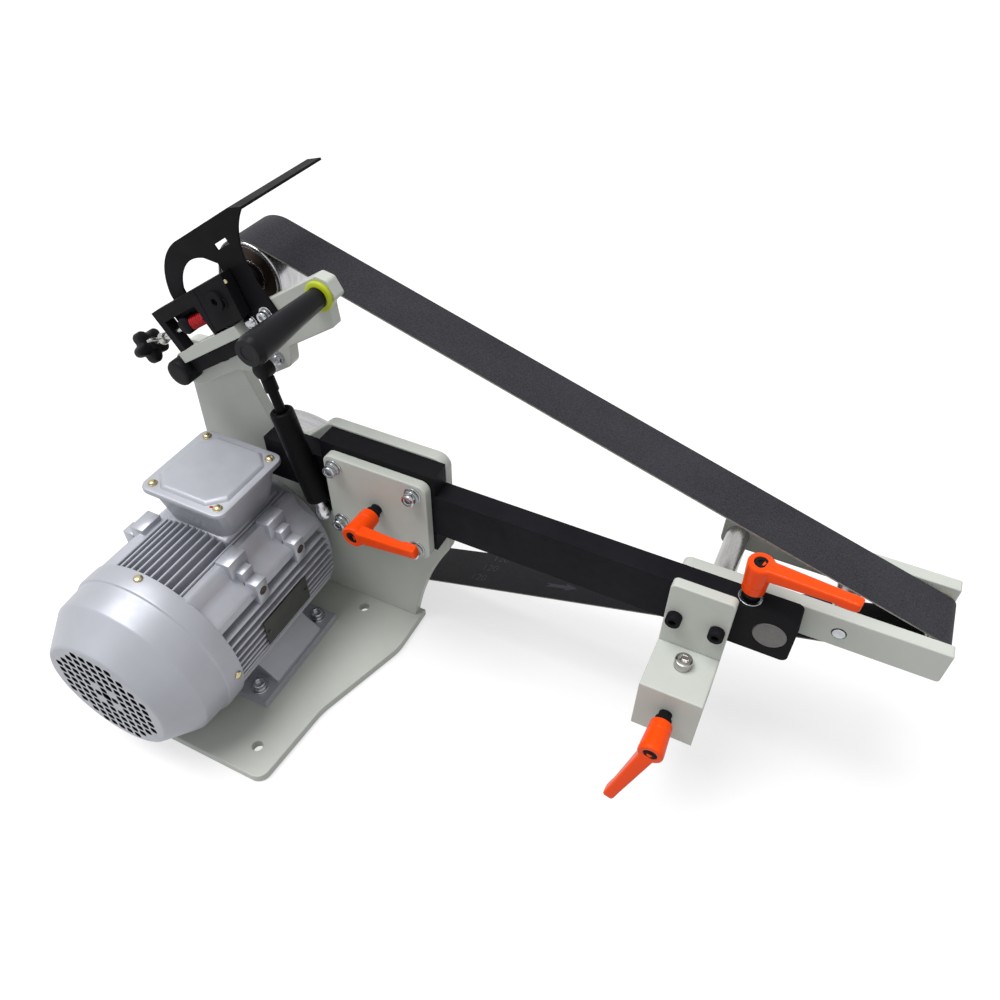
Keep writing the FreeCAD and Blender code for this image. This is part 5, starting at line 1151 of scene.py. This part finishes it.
# %% [markdown]
# ## Handle, ring and pivot cap on the tension arm
# The handle is a turned grip that swells towards its free end, with a coloured ring where it meets the arm.
# Turned profiles with a few extra points at each rim give an edge that is eased, as a moulded one is.

# %% Handle, ring and cap
ring_low, ring_high = corners("tension_handle_ring")
handle_low, handle_high = corners("tension_handle")
handle_middle = centre("tension_handle_ring") * [1, 0, 1]
handle_root = handle_middle + BACK * ring_low[1]
HANDLE_LONG = (handle_high[1] - handle_low[1]) / MM
grip = turned("tension_handle_grip", handle_root, -BACK, [
    (7.6, 0), (8.5, 0.4), (8.8, 2), (9.3, 16), (10.3, 36), (11.4, 56), (12.1, 70), (12.45, 79), (12.4, 81.6),
    (11.8, 83.2), (10.8, HANDLE_LONG), (6.4, HANDLE_LONG), (6.0, HANDLE_LONG - 0.6),
    (PINHOLE, HANDLE_LONG - 0.6)], 64)
fitted(grip, handle_rubber, "tension_arm", "black_plastic", "tension_handle")
ring = turned("handle_ring_bead", handle_middle + BACK * ring_high[1], -BACK, [
    (8.4, 0), (12.2, 0), (12.9, 0.7), (13.0, 2.0), (12.6, 3.2), (11.6, 3.9), (8.7, 4.0)], 56, hollow=True)
fitted(ring, ring_yellow, "tension_arm", "ring_yellow", "tension_handle_ring")
cap_start = corners("tension_arm")[0][1]
cap_at = arm_pivot * [1, 0, 1] + BACK * cap_start
CAP_LONG = (cap_start - corners("pivot_bolt")[0][1]) / MM
cap = turned("pivot_cap", cap_at, -BACK, [
    (11.6, 0), (12.8, 0.5), (13.0, 1.5), (13.0, 7.6), (12.4, 8.2), (12.4, 9.0), (13.0, 9.6),
    (13.0, CAP_LONG - 2.6), (12.3, CAP_LONG - 1.1), (10.8, CAP_LONG - 0.3), (8, CAP_LONG),
    (PINHOLE, CAP_LONG)], 56)
fitted(cap, black_plastic, "frame", "black_plastic", "pivot_bolt")
print("handle %.0f mm, cap %.1f mm long" % (HANDLE_LONG, CAP_LONG))

# %% [markdown]
# ## Star knob, wing nut and spring
# A star knob is a loft whose ring radius rises and falls with the angle. A coil spring is a circle carried
# along a helix, so both its angle round the axis and its place along it are functions of one parameter.

# %% Star knob, wing nut and its spring
screw_y = (joint_at("star_knob_turn")[1] - arm_pivot[1]) / MM
SCREW_W = 33.0
STAR_U, WING_U = -22, 2
STAR_LOBES, LOBE_DEPTH = 5, 0.19
STAR_ROWS = [(9.6, -7.2), (12.3, -6.8), (13.9, -5.8), (14.5, -4.2), (14.6, 3.2), (14.0, 4.9), (12.2, 6.0),
             (9.1, 6.5)]


def starred(name, at, along, rows, around=90):
    """Rings whose radius is r (1 + depth cos(lobes x angle)), softened towards the hollows."""
    angle = full_turn(around)
    wave = np.cos(STAR_LOBES * angle)
    shape = 1 + LOBE_DEPTH * (wave - 0.25 * wave ** 2)
    spokes = spokes_about(along, angle) * shape[:, None]
    return lofted(name, [np.asarray(at) + along * place * MM + spokes * radius * MM for radius, place in rows])


star_at = on_arm(STAR_U, screw_y, SCREW_W)
star = starred("star_grip", star_at, ARM_ALONG, STAR_ROWS)
star_neck = turned("star_neck", star_at + ARM_ALONG * 6 * MM, ARM_ALONG,
                   [(6.4, 0), (6.2, 3), (5.8, 6), (3.2, 6)], 36)
fitted(merged("star_knob_moulded", [star, star_neck]), black_plastic, "star_knob", "black_plastic", "star_knob")

wing_at = on_arm(WING_U, screw_y, SCREW_W)
wing_hub = turned("wing_hub", wing_at, ARM_ALONG,
                  [(3.2, 0), (5.6, 0), (5.8, 0.6), (5.0, 4.6), (4.4, 6), (3.2, 6)], 36, hollow=True)
WING_TURN = math.radians(68)
WING_THICK = 2.2
WING_CORNERS = [(3.4, -0.4, 0.5), (10, -3.4, 2), (16.5, -3.2, 3), (17, 3.6, 3), (11, 4.4, 2), (3.4, 4.4, 0.5)]
wing_outline = rounded_outline(WING_CORNERS, 4)
wing_out = ARM_SQUARE * math.cos(WING_TURN) - BACK * math.sin(WING_TURN)
wings = [wing_hub]
for way in (-1, 1):
    wing_normal = np.cross(wing_out * way, -ARM_ALONG)
    wing_root = wing_at + ARM_ALONG * 2 * MM - wing_normal * WING_THICK / 2 * MM
    wings.append(bevelled(slab("wing", wing_outline, wing_root, wing_out * way, -ARM_ALONG, WING_THICK), 0.6))
fitted(merged("wing_nut_pressed", wings), stainless, "wing_nut", "bright_steel", "wing_nut")


def coil(name, at, along, radius, wire, turns, long, steps=36, around=10):
    """A spring: a wire circle carried along a helix, flat at both ends."""
    along = np.asarray(along, float)
    share = np.linspace(0, 1, int(turns * steps))
    angle = share * turns * 2 * np.pi
    climb = np.clip((share - 0.5) * 1.12, -0.5, 0.5) * (long - wire * 2)
    spoke = spokes_about(along, angle)
    roll = full_turn(around)
    ring = np.cos(roll)[None, :, None] * spoke[:, None] + np.sin(roll)[None, :, None] * along
    middle = np.asarray(at, float) + spoke * radius * MM + along * climb[:, None] * MM
    return piece_from(name, (middle[:, None] + ring * wire * MM).reshape(-1, 3), ring_faces(len(share), around))


SPRING_LOW, SPRING_HIGH = 56.0, 79.0
SPRING_TURNS = 8
spring_middle = on_arm((SPRING_LOW + SPRING_HIGH) / 2, screw_y, SCREW_W)
red_spring = coil("tracking_coil", spring_middle, ARM_ALONG, 5.1, 1.0, SPRING_TURNS, SPRING_HIGH - SPRING_LOW)
fitted(red_spring, spring_red, "tension_arm", "spring_red", "tracking_spring")
trunnion = turned("tracking_trunnion", on_arm(50.5, screw_y + 5, SCREW_W + 1), -BACK, [
    (7.0, 0), (7.7, 0.6), (7.7, 10.6), (7.2, 11.4), (6.2, 11.8), (PINHOLE, 11.8)], 40)
fitted(trunnion, black_oxide, "tension_arm", "black_steel")
print("spring turns:", SPRING_TURNS, "star at", star_at.round(3))

# %% [markdown]
# ## Small fittings on the tension arm
# A cap nut and a socket screw hold the guard, a nut behind the arm holds the handle, a stud carries the strut,
# and a small black key lies on the arm's face. They are little, but the eye misses them when they are gone.

# %% Cap nut, screws and key
guard_front = (corners("belt_guard")[0][1] - arm_pivot[1]) / MM
arm_face = (corners("tension_arm")[0][1] - arm_pivot[1]) / MM
NUT_U, GUARD_SCREW_U, GUARD_W = 117, 137, 11
STUD_U, STUD_W = 114, -26
rise = np.linspace(0, np.pi / 2 - 0.08, 9)
dome = [(6.3, 0), (6.5, 0.4), (6.5, 2.6)]
dome += np.stack([6.2 * np.cos(rise), 2.8 + 5.6 * np.sin(rise)], axis=-1).tolist()
guard_seat = on_arm(GUARD_SCREW_U, guard_front, GUARD_W)
hardware = [turned("cap_nut", on_arm(NUT_U, guard_front, GUARD_W), -BACK, dome, 40),
            washer("guard_washer", guard_seat, -BACK, 3.2, 7.2, 1.2),
            spring_washer("guard_split", guard_seat - BACK * 1.2 * MM, -BACK, 3.2, 5.8, 1.4),
            cap_screw("guard_screw", guard_seat - BACK * 2.6 * MM, -BACK, 5.0, 5.0, 2.4)]
hardware.append(turned("handle_nut", handle_middle + BACK * corners("tension_arm")[1][1], BACK, [
    (6.8, 0), (7.5, 0.7), (7.5, 4.6), (6.9, 6.2), (5.4, 7.0), (PINHOLE, 7.0)], 40))
stud_spot = on_arm(STUD_U, 0, STUD_W) * [1, 0, 1]
hardware.append(turned("upper_stud", stud_spot + BACK * corners("tension_arm")[0][1], -BACK, [
    (6.5, 0), (6.5, 3.6), (4, 4.2), (4, 14), (4.9, 16), (5, 21), (4, 25.5), (2, 27), (PINHOLE, 27.2)], 32))
fitted(merged("tension_arm_fittings", hardware), zinc, "tension_arm", "bright_steel", "tension_arm_hardware")
key_outline = rounded_outline(rectangle(12, 7, 1.5), 3)
key = bevelled(slab("arm_key", key_outline, on_arm(48, arm_face, -8), -ARM_ALONG, ARM_SQUARE, 3.4), 0.8)
fitted(key, black_oxide, "tension_arm", "black_steel")
set_screw = cap_screw("block_set_screw", on_arm(115.4, screw_y - 5.5, 36), -BACK, 4.6, 0.9, 2.3)
fitted(set_screw, black_oxide, "tracking_head", "black_steel")
strip_outline = rounded_outline(rectangle(18, 3.4, 0.8), 2)
strip_at = on_arm(126, screw_y - 5.4, 50)
strip = bevelled(slab("index_strip", strip_outline, strip_at, -ARM_ALONG, ARM_SQUARE, 1.2), 0.3)
fitted(strip, yellow_zinc, "tracking_head", "bright_steel")
print("small fittings:", len(hardware) + 3)

# %% [markdown]
# ## The gas strut
# The strut is a black tube with eased shoulders, a slim rod, a black ball socket above and a bright one
# below. Each end piece is turned about the strut's own axis, which is the slide joint's axis.

# %% Tube, rod and ball sockets
strut_foot = joint_at("strut_swing")
strut_axis = np.array(joints["strut_slide"]["axis"], float)
strut_axis /= np.linalg.norm(strut_axis)
tube = turned("strut_tube", strut_foot, strut_axis, [
    (4.8, 17.2), (8.6, 16.4), (10.2, 17.0), (10.9, 18.4), (11.0, 20.5), (11.0, 107.5), (10.7, 107.9),
    (10.7, 108.5), (11.0, 108.9), (11.0, 115.2), (10.6, 117.0), (9.6, 117.9), (7.4, 118.0), (6.8, 116.4),
    (5.1, 116.2)], 56)
fitted(tube, strut_black, "strut_tube", "black_steel", "strut_cylinder")
socket = turned("strut_lower_socket", strut_foot, strut_axis, [
    (2.6, -7.4), (5.2, -6.6), (6.6, -4.2), (7.0, 0), (6.6, 4), (5.2, 6.6), (4.5, 8.2), (4.5, 17.5)], 40)
fitted(socket, zinc, "strut_tube", "bright_steel")
STRUT_LONG = np.linalg.norm(stud_spot - strut_foot * [1, 0, 1]) / MM
rod = turned("strut_slim_rod", strut_foot, strut_axis, [
    (4.7, 60), (4.7, STRUT_LONG - 22), (6.2, STRUT_LONG - 21), (6.2, STRUT_LONG - 9),
    (5.2, STRUT_LONG - 7.5)], 36)
eye_at = strut_foot + strut_axis * STRUT_LONG * MM + BACK * 6 * MM
eye = turned("strut_upper_eye", eye_at, -BACK, [
    (5.9, 0), (8.0, 0), (8.5, 0.6), (8.5, 10.6), (7.8, 11.6), (5.6, 12.2), (PINHOLE, 12.4)], 40)
fitted(merged("strut_rod_fine", [rod, eye]), strut_black, "strut_rod", "black_steel", "strut_rod")
lower_stud = turned("strut_stud", strut_foot + BACK * 17 * MM, -BACK, [
    (4, 0), (4, 10), (4.8, 11.5), (5.0, 17), (4.8, 19), (3.6, 22), (2.4, 22.4)], 32)
fitted(lower_stud, zinc, "frame", "bright_steel", "strut_lower_stud")
print("strut %.1f mm between its balls" % STRUT_LONG)

# %% [markdown]
# ## Wheels and the contact tip
# The wheels are turned from aluminium and show it: a rim with an eased edge, a recessed web and a hub. The
# tracking wheel's side is darker, with a bright ring round its bearing. The tip's axle carries a stack of
# thin washers behind the roller.

# %% Drive wheel, tracking wheel and washers
drive_low, drive_high = corners("drive_wheel")
drive_face = shaft * [1, 0, 1] + BACK * drive_low[1]
DRIVE_WIDE = (drive_high[1] - drive_low[1]) / MM
drive_rim = turned("drive_wheel_turned", drive_face, BACK, [
    (12.2, 0), (23.4, 0), (24, 0.6), (24, 13.4), (25, 14), (75, 14), (76, 13.4), (79.2, 0.6), (80, 0),
    (88.8, 0), (89.8, 0.7), (90, 2), (90, DRIVE_WIDE - 2), (89.8, DRIVE_WIDE - 0.7), (88.8, DRIVE_WIDE),
    (80, DRIVE_WIDE), (79.2, DRIVE_WIDE - 0.6), (76, 26.6), (75, 26), (25, 26), (24, 26.6), (24, 37.4),
    (23.4, 38), (12.2, 38)], 128, hollow=True)
fitted(drive_rim, turned_alloy, "rotor", "wheel_alloy", "drive_wheel")
wheel_low, wheel_high = corners("tracking_wheel")
wheel_face = tracking * [1, 0, 1] + BACK * wheel_low[1]
WHEEL_WIDE = (wheel_high[1] - wheel_low[1]) / MM
tread = turned("tracking_wheel_tread", wheel_face, BACK, [
    (27.2, 3.2), (27.6, 0.4), (28.2, 0), (31.6, 0), (32.2, 0.8), (32.5, 2), (32.5, WHEEL_WIDE - 2),
    (32.2, WHEEL_WIDE - 0.8), (31.6, WHEEL_WIDE), (28.2, WHEEL_WIDE), (27.6, WHEEL_WIDE - 0.4),
    (27.2, WHEEL_WIDE - 3.2)], 96, hollow=True)
fitted(tread, turned_alloy, "tracking_wheel", "wheel_alloy", "tracking_wheel")
web = turned("tracking_wheel_web", wheel_face, BACK, [
    (6.2, 1.4), (9.0, 1.4), (9.0, 1.0), (13.8, 1.0), (14.2, 2.4), (15.2, 2.4), (15.6, 1.6), (26.2, 3.0),
    (27.4, 3.0), (27.4, WHEEL_WIDE - 3), (15, WHEEL_WIDE - 3), (15, WHEEL_WIDE), (6.2, WHEEL_WIDE)],
    96, hollow=True)
fitted(web, dark_hub, "tracking_wheel", "wheel_alloy")
seal = turned("tracking_wheel_seal", wheel_face, BACK, [(13.9, 0.6), (15.1, 0.6), (15.1, 2.2), (13.9, 2.2)],
              72, hollow=True)
fitted(seal, zinc, "tracking_wheel", "wheel_alloy")
tip_back = corners("fork_back_plate")[0][1]
WASHER_PITCH = 1.35
tip_stack = []
for number in range(3):
    start = tip * [1, 0, 1] + BACK * (tip_back - (0.3 + WASHER_PITCH * (number + 1)) * MM)
    tip_stack.append(washer("tip_washer", start, BACK, 4.2, 8.6 - 0.5 * (number % 2), 1.2))
fitted(merged("tip_washers", tip_stack), yellow_zinc, "fork", "bright_steel")
print("drive wheel %.0f mm wide, tracking wheel %.0f mm" % (DRIVE_WIDE, WHEEL_WIDE))

# %% [markdown]
# ## Screws of the motor's covers
# Raised screws, plated yellow, hold the lid and the fan cover. Each is a low dome, turned from an arc; the
# recess in it is under a millimetre wide, so it is left out. An inspector's dab of red paint is on the lid.

# %% Lid and cover screws
def dome_screw(name, at, along, radius, tall):
    """A raised screw head: a low dome on a short band."""
    last, band = 1.35, 0.35
    rise = np.linspace(0, last, 7)
    heights = tall * (band + (1 - band) * np.sin(rise) / math.sin(last))
    arc = np.stack([radius * np.cos(rise), heights], axis=-1).tolist()
    return turned(name, at, along, [(radius, 0)] + arc, 28)


LID_SCREW = 37.6
COVER_SCREW_TURNS = (2, 92, 268)
COVER_SCREW_FROM_RIM, COVER_SCREW_R = 12.5, 87.9
cover_heads = []
lid_top = lid_low[2] + lip_tall * MM
for x in (-LID_SCREW, LID_SCREW):
    for y in (-LID_SCREW, LID_SCREW):
        spot = np.array([box_centre[0] + x * MM, box_centre[1] + y * MM, lid_top])
        cover_heads.append(washer("lid_washer", spot, UP, 2.2, 4.6, 0.7))
        cover_heads.append(dome_screw("lid_screw", spot + UP * 0.6 * MM, UP, 3.8, 2.5))
for degrees in COVER_SCREW_TURNS:
    out = np.array([math.sin(math.radians(degrees)), 0, math.cos(math.radians(degrees))])
    spot = shaft * [1, 0, 1] + BACK * (cover_high[1] - COVER_SCREW_FROM_RIM * MM) + out * COVER_SCREW_R * MM
    cover_heads.append(dome_screw("cover_screw", spot, out, 4.2, 2.6))
fitted(merged("motor_cover_heads", cover_heads), yellow_zinc, "frame", "bright_steel", "motor_cover_screws")
mark_outline = rounded_outline([(-2.6, -1.4, 0.9), (2.8, -0.8, 0.5), (2.4, 1.3, 0.6), (-2.2, 1.2, 0.9)], 3)
mark_at = np.array([box_centre[0] + 31.6 * MM, box_centre[1] - 38.6 * MM, lid_top - 0.02 * MM])
mark = slab("lid_mark", mark_outline, mark_at, ACROSS, BACK, 0.12)
fitted(mark, red_mark, "frame", "cast_aluminium")
print("lid and cover screw pieces:", len(cover_heads))

# %% [markdown]
# ## Floor, light and camera
# The machine stands on a plain pale floor that glows white only where the camera or a mirror looks at it, so
# it keeps the machine's shadow but throws little light back up. A wide soft sun from the upper left and an even
# room light the machine so that a surface facing up shows about its own colour.

# %% Floor
FLOOR_HALF = 6
FLOOR_SHARE = 0.42
SEEN_WHITE = 1.04


def seen_by(tree, *kinds):
    """A value that is 1 for the named kinds of ray and 0 for the rest: the largest of their flags."""
    rays = tree.nodes.new("ShaderNodeLightPath")
    value = rays.outputs[kinds[0]]
    for kind in kinds[1:]:
        larger = add_node(tree, "ShaderNodeMath", operation="MAXIMUM")
        tree.links.new(value, larger.inputs[0])
        tree.links.new(rays.outputs[kind], larger.inputs[1])
        value = larger.outputs["Value"]
    return value


floor_mesh = bpy.data.meshes.new("floor")
floor_corners = [(-FLOOR_HALF, -FLOOR_HALF, 0), (FLOOR_HALF, -FLOOR_HALF, 0), (FLOOR_HALF, FLOOR_HALF, 0),
                 (-FLOOR_HALF, FLOOR_HALF, 0)]
floor_mesh.from_pydata(floor_corners, [], [(0, 1, 2, 3)])
floor = linked("floor", floor_mesh)
floor_white = bpy.data.materials.new("floor_white")
floor_white.use_nodes = True
tree = floor_white.node_tree
paper = tree.nodes["Principled BSDF"]
paper.inputs["Base Color"].default_value = (FLOOR_SHARE, FLOOR_SHARE, FLOOR_SHARE, 1)
paper.inputs["Roughness"].default_value = 0.9
paper.inputs["Specular IOR Level"].default_value = 0.0
paper.inputs["Emission Color"].default_value = (1, 1, 1, 1)
glow = add_node(tree, "ShaderNodeMath", operation="MULTIPLY")
glow.inputs[1].default_value = SEEN_WHITE - FLOOR_SHARE
tree.links.new(seen_by(tree, "Is Camera Ray", "Is Glossy Ray"), glow.inputs[0])
tree.links.new(glow.outputs["Value"], paper.inputs["Emission Strength"])
floor_mesh.materials.append(floor_white)
print("floor", FLOOR_HALF * 2, "metres wide")

# %% Sun and room
SUN_STRENGTH, SUN_WIDE = 2.7, math.radians(38)
SUN_FROM = Vector((-0.30, -0.17, 1.0))
ROOM_STRENGTH = 0.46
sun = bpy.data.lights.new("soft_sun", "SUN")
sun.angle = SUN_WIDE
sun.energy = SUN_STRENGTH
linked("soft_sun", sun).rotation_euler = SUN_FROM.to_track_quat("Z", "Y").to_euler()

world = bpy.data.worlds.new("white_room")
bpy.context.scene.world = world
world.use_nodes = True
tree = world.node_tree
tree.nodes.clear()
sky_out = tree.nodes.new("ShaderNodeOutputWorld")
room = add_node(tree, "ShaderNodeBackground", Strength=ROOM_STRENGTH)
seen = add_node(tree, "ShaderNodeBackground", Strength=1.0)
blend_sky = tree.nodes.new("ShaderNodeMixShader")
for background in (room, seen):
    background.inputs["Color"].default_value = (1, 1, 1, 1)
white_for = seen_by(tree, "Is Camera Ray", "Is Glossy Ray", "Is Transmission Ray")
tree.links.new(white_for, blend_sky.inputs["Fac"])
tree.links.new(room.outputs["Background"], blend_sky.inputs[1])
tree.links.new(seen.outputs["Background"], blend_sky.inputs[2])
tree.links.new(blend_sky.outputs["Shader"], sky_out.inputs["Surface"])
print("sun strength", SUN_STRENGTH, "room strength", ROOM_STRENGTH)

# %% [markdown]
# The camera looks down over the motor from the front right. Its direction is an azimuth and an elevation with
# a slight roll, and its place is where the base, the tip and the guard line up as they should.

# %% Camera
AZIMUTH, ELEVATION, ROLL = math.radians(25.4), math.radians(44.1), math.radians(0.7)
CAMERA_AT = (0.4895, -0.3673, 0.745)
FOCAL_SHARE = 0.831
away = Vector((math.sin(AZIMUTH) * math.cos(ELEVATION), -math.cos(AZIMUTH) * math.cos(ELEVATION),
               math.sin(ELEVATION)))
right = Vector((math.cos(AZIMUTH), math.sin(AZIMUTH), 0))
upward = away.cross(right)
rolled_right = right * math.cos(ROLL) + upward * math.sin(ROLL)
rolled_up = upward * math.cos(ROLL) - right * math.sin(ROLL)
camera_data = bpy.data.cameras.new("camera")
camera_data.sensor_width = 36
camera_data.lens = FOCAL_SHARE * camera_data.sensor_width
camera = linked("camera", camera_data)
camera.matrix_world = Matrix((
    (rolled_right.x, rolled_up.x, away.x, CAMERA_AT[0]),
    (rolled_right.y, rolled_up.y, away.y, CAMERA_AT[1]),
    (rolled_right.z, rolled_up.z, away.z, CAMERA_AT[2]), (0, 0, 0, 1)))
bpy.context.scene.camera = camera
bpy.context.scene.view_settings.view_transform = "Standard"
print("lens %.1f mm" % camera_data.lens)

# %% The end of the scene
print("scene built")
